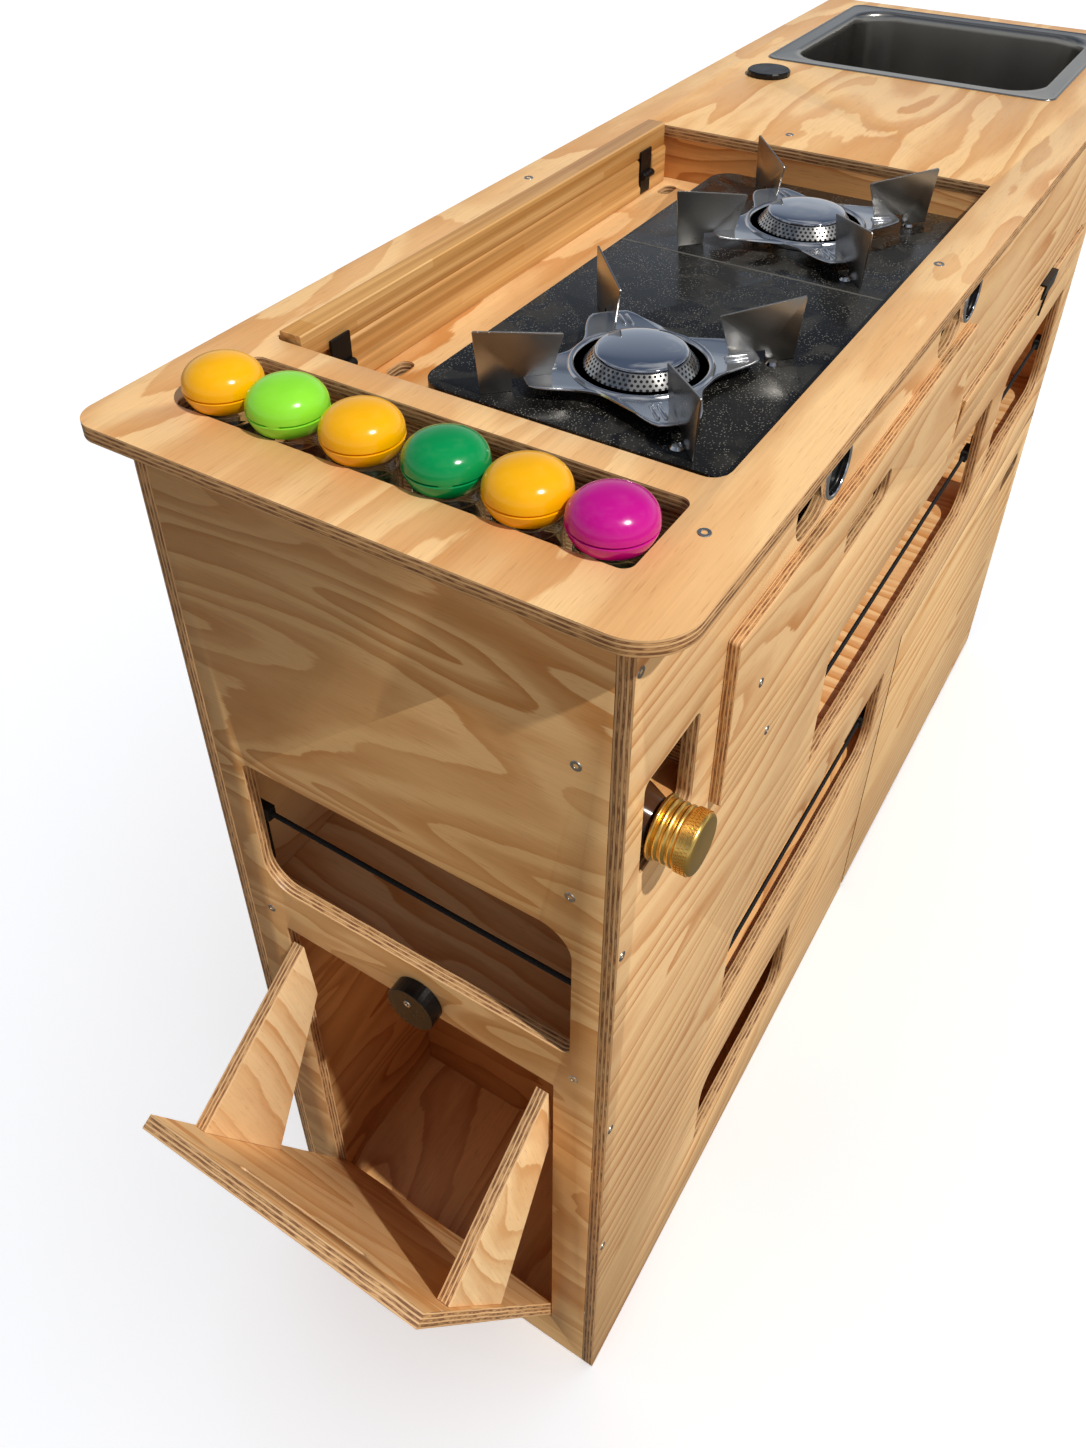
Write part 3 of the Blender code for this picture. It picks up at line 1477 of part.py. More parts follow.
def corded(name, along, first, last, z_first, z_last, reach):
    """An elastic cord between two clips on a panel's inner face."""
    depth = PLY + GAP + CLIP_THICKNESS / 2
    ends = []
    for place, z, inward in ((first, z_first, reach), (last, z_last, -CLIP_REACH)):
        low = min(place - CLIP_LENGTH if inward > 0 else place + inward, place + inward)
        high = low + CLIP_LENGTH + abs(inward)
        ends.append((low, high, z))
    middle = (first + last) / 2
    if along == "Y":
        origin = (depth, middle, (z_first + z_last) / 2)
        path = [(depth, first, z_first), (depth, last, z_last)]
    else:
        origin = (middle, depth, (z_first + z_last) / 2)
        path = [(first, depth, z_first), (last, depth, z_last)]
    cord = tube(name, path, CORD_RADIUS, black_elastic, origin)
    for number, (low, high, z) in enumerate(ends):
        near = [PLY + GAP, PLY + GAP + CLIP_THICKNESS]
        if along == "Y":
            corners = ((near[0], low, z - CLIP_HEIGHT / 2), (near[1], high, z + CLIP_HEIGHT / 2))
        else:
            corners = ((low, near[0], z - CLIP_HEIGHT / 2), (high, near[1], z + CLIP_HEIGHT / 2))
        clip = box("%s_clip_%d" % (name, number), *corners, None, collection=cutters)
        combine(cord, clip, "UNION")
    return cord


corded(
    "end_cord",
    "Y",
    END_OPENING_Y,
    END_OPENING_Y + END_OPENING_WIDTH,
    END_CORD_Z_FRONT,
    END_CORD_Z_BACK,
    CLIP_REACH,
)
for name, start, width, height in (
    ("long_cord", LONG_OPENING_X, LONG_OPENING_WIDTH, LONG_CORD_Z),
    ("shelf_cord", SHELF_OPENING_X, SHELF_OPENING_WIDTH, SHELF_CORD_Z),
    ("sink_cord", sink_opening_x, sink_opening_width, SINK_CORD_Z),
):
    corded(name, "X", start, start + width, height, height, CLIP_REACH)

# ---------------------------------------------------------------- jars and lids
jar_foot = JAR_SHELF_TOP + GAP
neck_foot = JAR_BODY_HEIGHT + JAR_NECK_FOOT
neck_top = neck_foot + JAR_NECK_HEIGHT
lid_roof = neck_top + LID_CLEARANCE
jar_y = JAR_FIRST_Y
lid_paints = (magenta_lid, yellow_lid, green_lid, yellow_lid, lime_lid, yellow_lid)
for number, paint in enumerate(lid_paints, start=1):
    jar_place = (JAR_X, jar_y, jar_foot)
    turned(
        "jar_glass_%d" % number,
        [
            (JAR_NECK_RADIUS, neck_top),
            (JAR_NECK_RADIUS, neck_foot),
            (JAR_RADIUS, JAR_BODY_HEIGHT),
            (JAR_RADIUS, JAR_FOOT),
            (JAR_RADIUS - JAR_FOOT, 0.0),
            (0.0, 0.0),
            (0.0, neck_top),
        ],
        glass,
        jar_place,
        steps=JAR_ROUND_STEPS,
    )
    hollow_name = "jar_hollow_%d" % number
    hollow_tool = turned(
        hollow_name,
        [
            (0.0, neck_top + OVERRUN),
            (JAR_NECK_RADIUS - JAR_WALL, neck_top + OVERRUN),
            (JAR_NECK_RADIUS - JAR_WALL, neck_foot),
            (JAR_RADIUS - JAR_WALL, JAR_BODY_HEIGHT - JAR_WALL),
            (JAR_RADIUS - JAR_WALL, JAR_FOOT),
            (0.0, JAR_FOOT),
        ],
        None,
        jar_place,
        steps=JAR_ROUND_STEPS,
        collection=cutters,
    )
    combine(bpy.data.objects["jar_glass_%d" % number], hollow_tool, "DIFFERENCE")
    turned(
        "jar_lid_%d" % number,
        [
            (0.0, LID_TOP_Z - LID_SKIRT_Z),
            *arc(0.0, LID_TOP_Z - LID_SKIRT_Z, LID_RADIUS, LID_SEAM_Z - LID_SKIRT_Z),
            ((LID_RADIUS + LID_SKIRT_RADIUS) / 2 + GAP, (LID_SEAM_Z - LID_SKIRT_Z) / 3),
            (LID_SKIRT_RADIUS, 0.0),
            (JAR_NECK_RADIUS + LID_CLEARANCE, 0.0),
            (JAR_NECK_RADIUS + LID_CLEARANCE, lid_roof - LID_SKIRT_Z),
            (0.0, lid_roof - LID_SKIRT_Z),
        ],
        paint,
        (JAR_X, jar_y, jar_foot + LID_SKIRT_Z),
    )
    if number <= len(JAR_STEPS):
        jar_y += JAR_STEPS[number - 1]

# ---------------------------------------------------------------- bottle lying behind its slot
bottle_back = DEPTH - BOTTLE_BACK
bottle_z = BOTTLE_SHELF_TOP + GAP + BOTTLE_RADIUS
bottle_top = bottle_back + CAP_BACK + BOTTLE_NECK_INTO_CAP
turned(
    "bottle",
    [
        (0.0, bottle_top),
        (BOTTLE_NECK_RADIUS, bottle_top),
        (BOTTLE_NECK_RADIUS, BOTTLE_BODY_LENGTH + BOTTLE_SHOULDER),
        *arc(BOTTLE_NECK_RADIUS, BOTTLE_BODY_LENGTH + BOTTLE_SHOULDER, BOTTLE_RADIUS, BOTTLE_BODY_LENGTH),
        (BOTTLE_RADIUS, BOTTLE_ROUND),
        (BOTTLE_RADIUS - BOTTLE_ROUND, 0.0),
        (0.0, 0.0),
    ],
    glass,
    (BOTTLE_X, bottle_back, bottle_z),
    FACE_FRONT,
)


def cap_profile():
    """From the end face down over the knurled band, the rounded ribs and the flange to the bore."""
    length = CAP_FRONT - CAP_BACK
    band = length - CAP_FLANGE - CAP_RIB_RUN
    points = [
        (0.0, length),
        (CAP_BAND_RADIUS - CAP_BAND_ROUND, length),
        (CAP_BAND_RADIUS, length - CAP_BAND_ROUND),
        (CAP_BAND_RADIUS, length - band),
    ]
    rib = CAP_RIB_RUN / CAP_RIBS
    for number in range(CAP_RIBS):
        high = length - band - rib * number
        points.append((CAP_RIB_RADIUS - CAP_RIB_GROOVE, high - rib / 8))
        points.append((CAP_RIB_RADIUS, high - rib / 3))
        points.append((CAP_RIB_RADIUS, high - 2 * rib / 3))
    points.append((CAP_RIB_RADIUS - CAP_RIB_GROOVE, CAP_FLANGE))
    points.append((CAP_FLANGE_RADIUS, CAP_FLANGE - CAP_BAND_ROUND / 2))
    points.append((CAP_FLANGE_RADIUS, 0.0))
    bore = BOTTLE_NECK_RADIUS + CAP_BORE_CLEARANCE
    points.append((bore, 0.0))
    points.append((bore, BOTTLE_NECK_INTO_CAP + CAP_BORE_CLEARANCE))
    points.append((0.0, BOTTLE_NECK_INTO_CAP + CAP_BORE_CLEARANCE))
    return points


turned(
    "bottle_cap",
    cap_profile(),
    gold,
    (BOTTLE_X, -CAP_BACK, bottle_z),
    FACE_FRONT,
)

for made in parts.objects:
    if made.type == "MESH" and made.data.polygons:
        smooth(made)
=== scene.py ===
"""A slim plywood kitchen pod for a campervan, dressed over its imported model.

Places are in the pod's own metres: x from the bin end, y from the front face, z from the floor.
at() turns them into the model's frame, whose origin is the middle of the footprint. The numbers of
a profile, a loop, an edge or a sheet's thickness are millimetres.
"""

import functools
import json
import math

import bmesh
import bpy
from mathutils import Matrix, Vector

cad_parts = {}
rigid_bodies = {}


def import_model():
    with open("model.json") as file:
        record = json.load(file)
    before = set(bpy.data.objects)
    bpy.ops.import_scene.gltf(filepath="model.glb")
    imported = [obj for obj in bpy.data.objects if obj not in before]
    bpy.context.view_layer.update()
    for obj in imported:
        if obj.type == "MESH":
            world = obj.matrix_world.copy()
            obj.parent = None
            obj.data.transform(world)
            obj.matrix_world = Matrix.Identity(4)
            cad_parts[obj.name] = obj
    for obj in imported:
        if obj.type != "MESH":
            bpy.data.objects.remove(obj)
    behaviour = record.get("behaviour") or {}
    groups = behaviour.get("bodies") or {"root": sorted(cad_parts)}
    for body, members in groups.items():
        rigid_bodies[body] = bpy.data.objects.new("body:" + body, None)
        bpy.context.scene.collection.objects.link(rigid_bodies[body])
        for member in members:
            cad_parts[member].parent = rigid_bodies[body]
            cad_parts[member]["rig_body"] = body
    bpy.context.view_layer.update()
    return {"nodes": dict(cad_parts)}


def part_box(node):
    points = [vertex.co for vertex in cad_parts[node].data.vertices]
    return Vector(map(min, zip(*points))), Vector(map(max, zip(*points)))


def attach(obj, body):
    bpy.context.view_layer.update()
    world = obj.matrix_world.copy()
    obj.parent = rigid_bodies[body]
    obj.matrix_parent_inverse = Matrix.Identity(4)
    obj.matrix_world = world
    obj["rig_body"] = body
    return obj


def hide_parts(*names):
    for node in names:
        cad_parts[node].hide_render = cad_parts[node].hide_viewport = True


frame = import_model()
nodes = frame["nodes"]

# of the carcass
HALF_LENGTH = 0.571
HALF_DEPTH = 0.160
MM = 0.001

# fitted to the carcass's corners
EYE = (-0.92662, -0.33287, 1.19888)
FORWARD = (0.66720, 0.41807, -0.61649)
RIGHTWARD = (0.52962, -0.84823, -0.00204)
FOCAL_PX, FRAME_HEIGHT_PX = 1187.17, 1448


def at(x, y, z):
    return Vector((x - HALF_LENGTH, y - HALF_DEPTH, z))


# -------------------------------------------------------- camera and light


def place_camera():
    lens = bpy.data.cameras.new("camera")
    camera = bpy.data.objects.new("camera", lens)
    bpy.context.scene.collection.objects.link(camera)
    forward = Vector(FORWARD).normalized()
    right = Vector(RIGHTWARD).normalized()
    up = right.cross(forward)
    turn = Matrix((right, up, -forward)).transposed()
    camera.matrix_world = Matrix.Translation(EYE) @ turn.to_4x4()
    lens.sensor_width = 36.0
    lens.lens = lens.sensor_width * FOCAL_PX / FRAME_HEIGHT_PX
    lens.shift_x = 0.00076
    lens.shift_y = -0.1048
    lens.clip_start = 0.02
    lens.dof.use_dof = False
    bpy.context.scene.camera = camera


def shine(name, energy, angle, towards, colour):
    """A distant lamp that shines from towards."""
    light = bpy.data.lights.new(name, "SUN")
    light.energy = energy
    light.angle = math.radians(angle)
    light.color = colour
    lamp = bpy.data.objects.new(name, light)
    lamp.rotation_euler = Vector(towards).to_track_quat("Z", "Y").to_euler()
    bpy.context.scene.collection.objects.link(lamp)
    return lamp


def place_light():
    world = bpy.data.worlds.new("studio")
    bpy.context.scene.world = world
    world.use_nodes = True
    world.node_tree.nodes.clear()
    add = functools.partial(node, world.node_tree)
    place = add("TexCoord")["Generated"]
    split = add("SeparateXYZ", {0: place})
    height = add("MapRange", {0: split["Z"], 1: -1.0, 2: 1.0})[0]
    # fill: stronger from the front, warm from below and cool from above
    steps = ((0.0, "#A58F70"), (0.47, "#A18D70"), (0.56, "#8E9093"), (1.0, "#858F9D"))
    fill = add("ValToRGB", {0: height}, steps)[0]
    ahead = add("MapRange", {0: split["Y"], 1: -1.0, 2: 0.0, 3: 2.15, 4: 0.95})[0]
    soft = add("Background", {0: fill, 1: ahead})
    # what the metals mirror: a bright line at eye height, a blue-grey ceiling with pale patches
    patches = {0: place, "Scale": 3.2, "Detail": 4.0, "Roughness": 0.55, "Distortion": 0.4}
    clouds = add("TexNoise", patches)["Fac"]
    clouds = add("MapRange", {0: clouds, 1: 0.46, 2: 0.62, 3: 0.0, 4: 0.55})[0]
    above = add("MapRange", {0: height, 1: 0.46, 2: 0.50})[0]
    clouds = add("Math", {0: clouds, 1: above}, operation="MULTIPLY")[0]
    steps = (
        (0.0, "#706D68"),
        (0.44, "#8A857D"),
        (0.495, "#9A958C"),
        (0.51, "#EDEBE7"),
        (0.62, "#B6BFCB"),
        (0.80, "#5A667B"),
    )
    ceiling = add("ValToRGB", {0: height}, steps)[0]
    seen = add("Mix", {0: clouds, 6: ceiling, 7: "#EDECEA"})[2]
    glints = add("Background", {0: seen, 1: 0.9})
    plain = add("Background", {0: "#FFFFFF", 1: 1.0})
    path = add("LightPath")
    lit = add("MixShader", {0: path["Is Glossy Ray"], 1: soft[0], 2: glints[0]})
    mixed = add("MixShader", {0: path["Is Camera Ray"], 1: lit[0], 2: plain[0]})
    add("OutputWorld", {0: mixed[0]})

    # the floor takes no hard shadow and throws no light back, like a lit studio table
    ground = bmesh.new()
    bmesh.ops.create_grid(ground, x_segments=1, y_segments=1, size=9.0)
    bmesh.ops.translate(ground, vec=(0.0, 0.0, -0.0006), verts=ground.verts)
    floor = bpy.data.objects.new("floor", plain_mesh("floor", ground))
    bpy.context.scene.collection.objects.link(floor)
    chalk, add, shader = finish_of("floor_white", {"Base Color": "#FAFAFA", "Roughness": 1.0})
    wire(shader, {"Specular IOR Level": 0.0, "Emission Color": "#FFFFFF", "Emission Strength": 0.36})
    floor.data.materials.append(chalk)
    floor.visible_diffuse = False
    floor.visible_glossy = False
    sun = shine("sun", 2.85, 1.4, (-0.07, -0.57, 0.82), (1.0, 0.97, 0.92))
    overhead = shine("overhead", 1.35, 95.0, (0.10, -0.18, 1.0), (1.0, 0.985, 0.965))
    for lamp, state in ((sun, "EXCLUDE"), (overhead, "INCLUDE")):
        reached = bpy.data.collections.new(lamp.name + "_reaches")
        reached.objects.link(floor)
        reached.collection_objects[0].light_linking.link_state = state
        lamp.light_linking.receiver_collection = reached
    bpy.context.scene.view_settings.view_transform = "Standard"


# -------------------------------------------------------- small tools for materials


def linear(text):
    """An sRGB hex colour as linear values."""
    values = [int(text[i : i + 2], 16) / 255 for i in (1, 3, 5)]
    return tuple(v / 12.92 if v <= 0.04045 else ((v + 0.055) / 1.055) ** 2.4 for v in values)


def wire(made, inputs):
    """Sets a node's inputs, each a value, a hex colour or a link from another node."""
    for key, value in inputs.items():
        if isinstance(value, bpy.types.NodeSocket):
            made.id_data.links.new(value, made.inputs[key])
        else:
            made.inputs[key].default_value = (*linear(value), 1.0) if isinstance(value, str) else value


def node(tree, kind, inputs=None, stops=(), sizes=None, **settings):
    """Adds a node with its settings and links, and a ramp's stops; gives its outputs.

    sizes lays a texture out in real millimetres, one for every way or three for x, y and z.
    """
    inputs = dict(inputs or {})
    if sizes:
        each_way = sizes if isinstance(sizes, tuple) else (sizes,) * 3
        repeats = tuple(1.0 / (size * MM) for size in each_way)
        inputs[0] = node(tree, "Mapping", {0: inputs[0], "Scale": repeats})[0]
        inputs["Scale"] = 1.0
    made = tree.nodes.new("ShaderNode" + kind)
    if kind == "Mix":
        made.data_type = "RGBA"
    for name, value in settings.items():
        setattr(made, name, value)
    wire(made, inputs)
    for count, (place, colour) in enumerate(stops):
        points = made.color_ramp.elements
        point = points[count] if count < 2 else points.new(place)
        point.position = place
        point.color = (*linear(colour), 1.0)
    return made.outputs


def finish_of(name, inputs):
    """A new material; gives it, the function that adds its nodes, and its shader."""
    made = bpy.data.materials.new(name)
    made.use_nodes = True
    shader = made.node_tree.nodes["Principled BSDF"]
    wire(shader, inputs)
    return made, functools.partial(node, made.node_tree), shader


# -------------------------------------------------------- plywood and bamboo


# pale earlywood in two tones, brown latewood, dark resin
OILED = ("#F3C78F", "#ECBC80", "#CE8B4A", "#AF7038")
TOP = ("#FBCF93", "#F5C589", "#DDA062", "#B4743A")
FRONT = ("#F4D09E", "#EAC18B", "#CB9056", "#AF7038")
CHEEK = ("#FFE0AE", "#FDD49C", "#DDA467", "#B4743A")
DOOR = ("#E9C795", "#DFB884", "#C28A52", "#A56A36")
END = ("#F1C68D", "#E8BB80", "#CB8F50", "#AF7038")
# inner panels: the same ply drawn darker and more orange, painted shade for the inside of the pod
INNER_PAINTED_SHADE = ("#F0BC7C", "#E3A968", "#BE7B3C", "#8F5628")
# a ply cut along its grain, light and dark, then one cut across it
EDGES = ("#F2CC9A", "#C4905A", "#D2A26D", "#865938")
# the door's edges drawn darker than the rest: painted shade, so the gap beside the door reads dark
DOOR_EDGES_PAINTED_SHADE = ("#9A6F42", "#7C5530", "#805B36", "#553A22")


def plywood(
    name,
    along,
    out,
    low,
    seed,
    bands=6.0,
    thickness=10.0,
    figure=OILED,
    straight=1.0,
    lines=0.52,
    wild=1.4,
    drift=0.0,
    edges=EDGES,
):
    """Radiata pine plywood, rotary-peeled, glued and oiled.

    The knife meets the growth rings almost flat, so the eye sees wavy brown patches that end in
    a sharp line, fine pores along the grain, and seven stripes of veneer in every edge. along is
    the face grain's direction, out the panel's thickness, and low a point on its low face. bands
    is how many rings one swing of the cut crosses, drift how many it crosses in a metre besides.
    """
    made, add, shader = finish_of(name + "_radiata_ply", {"IOR": 1.48})
    along = Vector(along).normalized()
    out = Vector(out).normalized()
    turn = tuple(Matrix((along, out.cross(along), out)).to_euler())
    coords = add("TexCoord")
    shift = (seed, seed * 0.37, -out.dot(Vector(low)))
    placed = add("Mapping", {0: coords["Object"], "Rotation": turn, "Location": shift})[0]
    facing = add("Mapping", {0: coords["Normal"], "Rotation": turn})[0]
    facing = add("SeparateXYZ", {0: facing})["Z"]
    facing = add("Math", {0: facing}, operation="ABSOLUTE")[0]
    on_face = add("Math", {0: facing, 1: 0.6}, operation="GREATER_THAN")[0]
    split = add("SeparateXYZ", {0: placed})

    # face: growth rings cut almost flat, so a slow height field is contoured into patches
    figured = {0: placed, "Detail": wild, "Roughness": 0.4, "Distortion": 0.9 / straight}
    slow = add("TexNoise", figured, sizes=(435.0 * straight, 111.0, 111.0))["Fac"]
    ruffle = add("TexNoise", {0: placed}, sizes=(91.0 * straight, 24.0, 24.0))["Fac"]
    ragged = add("TexNoise", {0: placed, "Roughness": 0.6}, sizes=(17.0, 2.4, 2.4))["Fac"]
    ruffle = add("Math", {0: ruffle, 1: 0.75}, operation="MULTIPLY")[0]
    height = add("Math", {0: slow, 1: bands, 2: ruffle}, operation="MULTIPLY_ADD")[0]
    height = add("Math", {0: ragged, 1: 0.10, 2: height}, operation="MULTIPLY_ADD")[0]
    height = add("Math", {0: split["Y"], 1: drift, 2: height}, operation="MULTIPLY_ADD")[0]
    ring = add("Math", {0: height}, operation="FRACT")[0]
    # the tone rises slowly over a ring, darkens at its end and drops sharply into the next
    rise, line, fall = (
        add("MapRange", dict(enumerate((ring, *ramp))), interpolation_type="SMOOTHSTEP")[0]
        for ramp in (
            (0.22, 0.60, 0.0, 1.0 - lines),
            (0.66, 0.92, 0.0, lines),
            (0.955, 1.0, 1.0, 0.0),
        )
    )
    late = add("Math", {0: rise, 1: line})[0]
    late = add("Math", {0: late, 1: fall}, operation="MULTIPLY")[0]
    fade = add("TexNoise", {0: placed, "Roughness": 0.6}, sizes=(294.0, 100.0, 100.0))["Fac"]
    fade = add("MapRange", {0: fade, 1: 0.34, 2: 0.60, 3: 0.42, 4: 1.0})[0]
    late = add("Math", {0: late, 1: fade}, operation="MULTIPLY")[0]
    clouded = {0: placed, "Detail": 3.0, "Roughness": 0.55}
    cloud = add("TexNoise", clouded, sizes=(200.0, 91.0, 91.0))["Fac"]
    pale = add("Mix", {0: cloud, 6: figure[0], 7: figure[1]})[2]
    colour = add("Mix", {0: late, 6: pale, 7: figure[2]})[2]
    # resin streaks and pores: real ones are 0.3 mm wide, drawn 1.1 and 1.6 mm wide so they show
    streak = add("TexNoise", {0: placed}, sizes=(18.0, 1.1, 1.1))["Fac"]
    streak = add("MapRange", {0: streak, 1: 0.62, 2: 0.72, 3: 0.0, 4: 0.35})[0]
    colour = add("Mix", {0: streak, 6: colour, 7: figure[3]})[2]
    fibre = add("TexNoise", {0: placed, "Detail": 3.0, "Roughness": 0.65}, sizes=(62.0, 1.6, 1.6))["Fac"]
    pores = add("MapRange", {0: fibre, 1: 0.30, 2: 0.74, 3: 0.92, 4: 1.05})[0]
    face = add("Mix", {0: 1.0, 6: colour, 7: pores}, blend_type="MULTIPLY")[2]

    # edge: seven plies, every other one cut across its grain, which drinks the oil and goes dark
    wobble = add("TexNoise", {0: placed}, sizes=(24.0, 24.0, 50.0))["Fac"]
    sway = add("MapRange", {0: wobble, 1: 0.0, 2: 1.0, 3: -0.45, 4: 0.45})[0]
    level = add("Math", {0: split["Z"], 1: 7.0 / (thickness * MM), 2: sway}, operation="MULTIPLY_ADD")[0]
    inside = add("Math", {0: level}, operation="FRACT")[0]
    ply = add("Math", {0: level}, operation="FLOOR")[0]
    odd = add("Math", {0: ply, 1: 2.0}, operation="FLOORED_MODULO")[0]
    dashes = {0: placed, "Detail": 3.0, "Roughness": 0.65}
    dashes = add("TexNoise", dashes, sizes=(11.0, 11.0, 2.4))["Fac"]
    dashes = add("MapRange", {0: dashes, 1: 0.38, 2: 0.58})[0]
    end_grain = add("Mix", {0: dashes, 6: edges[2], 7: edges[3]})[2]
    long_grain = add("TexNoise", {0: placed}, sizes=(33.0, 33.0, 0.7))["Fac"]
    long_grain = add("Mix", {0: long_grain, 6: edges[0], 7: edges[1]})[2]
    edge = add("Mix", {0: odd, 6: long_grain, 7: end_grain})[2]
    middle = add("Math", {0: inside, 1: 0.5, 2: 0.40}, operation="COMPARE")[0]
    depth = add("MapRange", {0: wobble, 1: 0.35, 2: 0.65, 3: 0.25, 4: 0.85})[0]
    glue = add("Mix", {0: middle, 2: depth, 3: 0.0}, data_type="FLOAT")[0]
    edge = add("Mix", {0: glue, 6: edge, 7: "#4B2F1C"})[2]

    both = add("Mix", {0: on_face, 6: edge, 7: face})[2]
    sheen = add("MapRange", {0: fibre, 1: 0.3, 2: 0.7, 3: 0.36, 4: 0.50})[0]
    relief = add("Math", {0: late, 1: 0.5, 2: fibre}, operation="MULTIPLY_ADD")[0]
    relief = add("Bump", {"Height": relief, "Strength": 0.22, "Distance": 0.25 * MM})[0]
    wire(shader, {"Base Color": both, "Roughness": sheen, "Normal": relief})
    return made


def bamboo_strip(name, seed=0.0):
    """Laminated bamboo, split into strips 5.6 mm wide, glued side by side and oiled.

    The eye sees straight, even strips of two tones with hair-fine fibres running down them.
    """
    made, add, shader = finish_of(name, {"IOR": 1.5, "Roughness": 0.38})
    placed = add("Mapping", {0: add("TexCoord")["Object"], "Location": (seed, 0.0, 0.0)})[0]
    split = add("SeparateXYZ", {0: placed})
    fibre = add("TexNoise", {0: placed, "Detail": 3.0, "Roughness": 0.6}, sizes=(200.0, 1.4, 1.4))["Fac"]
    coarse = add("TexNoise", {0: placed}, sizes=(455.0, 5.9, 5.9))["Fac"]
    strip = add("Math", {0: split["Z"], 1: 5.6 * MM}, operation="DIVIDE")[0]
    strip = add("Math", {0: strip}, operation="FLOOR")[0]
    # a strip is a few hundred millimetres long, and its neighbour starts elsewhere
    start = add("Math", {0: strip, 1: 0.37}, operation="MULTIPLY")[0]
    run = add("Math", {0: split["X"], 1: 1.0 / 0.32, 2: start}, operation="MULTIPLY_ADD")[0]
    run = add("Math", {0: run}, operation="FLOOR")[0]
    lot = add("CombineXYZ", {0: run, 1: strip})[0]
    lot = add("TexWhiteNoise", {0: lot}, noise_dimensions="3D")[0]
    warm = add("Mix", {0: lot, 6: "#E6B777", 7: "#CD9450"})[2]
    streak = add("MapRange", {0: coarse, 1: 0.35, 2: 0.7})[0]
    colour = add("Mix", {0: streak, 6: warm, 7: "#B27A3C"})[2]
    tint = add("MapRange", {0: fibre, 1: 0.3, 2: 0.7, 3: 0.84, 4: 1.12})[0]
    colour = add("Mix", {0: 1.0, 6: colour, 7: tint}, blend_type="MULTIPLY")[2]
    relief = add("Bump", {"Height": fibre, "Strength": 0.2, "Distance": 0.2 * MM})[0]
    wire(shader, {"Base Color": colour, "Normal": relief})
    return made


# -------------------------------------------------------- metals, enamel, plastics


def brushed_steel(name, colour, roughness, line, depth=0.02, spread=0.15):
    """Stainless sheet, rolled and brushed; line is a brush mark's reach in millimetres each way.

    The marks stretch and break the reflections a little, so they look soft along the brushing.
    """
    made, add, shader = finish_of(name, {"Metallic": 1.0})
    place = add("TexCoord")["Object"]
    mark = add("TexNoise", {0: place, "Detail": 3.0, "Roughness": 0.6}, sizes=line)["Fac"]
    handled = add("TexNoise", {0: place}, sizes=38.0)["Fac"]
    value = add("Math", {0: mark, 1: handled})[0]
    low, high = roughness * (1.0 - spread), roughness * (1.0 + spread)
    value = add("MapRange", {0: value, 1: 0.0, 2: 2.0, 3: low, 4: high})[0]
    tint = add("MapRange", {0: mark, 1: 0.3, 2: 0.7, 3: 0.95, 4: 1.03})[0]
    tone = add("Mix", {0: 1.0, 6: colour, 7: tint}, blend_type="MULTIPLY")[2]
    relief = add("Bump", {"Height": mark, "Strength": depth, "Distance": 0.1 * MM})[0]
    wire(shader, {"Base Color": tone, "Roughness": value, "Normal": relief})
    return made


def polished_metal(name, colour, roughness):
    """Steel buffed to a mirror, or chromed: sharp reflections, dulled a little where it is handled."""
    made, add, shader = finish_of(name, {"Metallic": 1.0, "Base Color": colour})
    place = add("TexCoord")["Object"]
    touch = add("TexNoise", {0: place, "Detail": 4.0, "Roughness": 0.6}, sizes=14.0)["Fac"]
    value = add("MapRange", {0: touch, 1: 0.45, 2: 0.75, 3: roughness, 4: roughness * 2.4})[0]
    wire(shader, {"Roughness": value})
    return made


def enamel_plate():
    """Black vitreous enamel, fired on pressed steel with a pale fleck in it.

    The eye sees deep black with a faint speckle, and paler matt patches: smears of a hob wiped but not
    clean, and a painted reflection of the blotchy surroundings as well.
    """
    made, add, shader = finish_of("black_enamel_plate", {"IOR": 1.5, "Specular IOR Level": 0.35})
    place = add("TexCoord")["Object"]
    # the real fleck is about 0.3 mm; it is drawn 1.8 mm apart and 0.4 mm wide so it shows
    fleck = add("TexVoronoi", {0: place}, sizes=1.8)["Distance"]
    fleck = add("Math", {0: fleck, 1: 0.24}, operation="LESS_THAN")[0]
    sparse = add("TexNoise", {0: place}, sizes=22.0)["Fac"]
    sparse = add("MapRange", {0: sparse, 1: 0.42, 2: 0.50, 3: 0.2, 4: 0.85})[0]
    fleck = add("Math", {0: fleck, 1: sparse}, operation="MULTIPLY")[0]
    grain = add("TexNoise", {0: place}, sizes=1.1)["Fac"]
    smear_and_reflection = add("TexNoise", {0: place, "Detail": 2.5, "Distortion": 1.4}, sizes=47.0)["Fac"]
    smear_and_reflection = add("MapRange", {0: smear_and_reflection, 1: 0.45, 2: 0.57}, interpolation_type="SMOOTHSTEP")[0]
    wash = add("TexNoise", {0: place, "Detail": 3.0, "Roughness": 0.6}, sizes=110.0)["Fac"]
    wash = add("MapRange", {0: wash, 1: 0.4, 2: 0.62, 3: 0.1, 4: 0.55})[0]
    smear_and_reflection = add("Math", {0: smear_and_reflection, 1: wash}, operation="MULTIPLY")[0]
    base = add("Mix", {0: grain, 6: "#080808", 7: "#1C1B19"})[2]
    # paler patches: wiping smears, drawn paler as a painted reflection too
    base = add("Mix", {0: smear_and_reflection, 6: base, 7: "#45423B"})[2]
    base = add("Mix", {0: fleck, 6: base, 7: "#7C786F"})[2]
    value = add("MapRange", {0: smear_and_reflection, 1: 0.0, 2: 0.5, 3: 0.19, 4: 0.42})[0]
    relief = add("Bump", {"Height": grain, "Strength": 0.1, "Distance": 0.08 * MM})[0]
    wire(shader, {"Base Color": base, "Roughness": value, "Normal": relief})
    return made


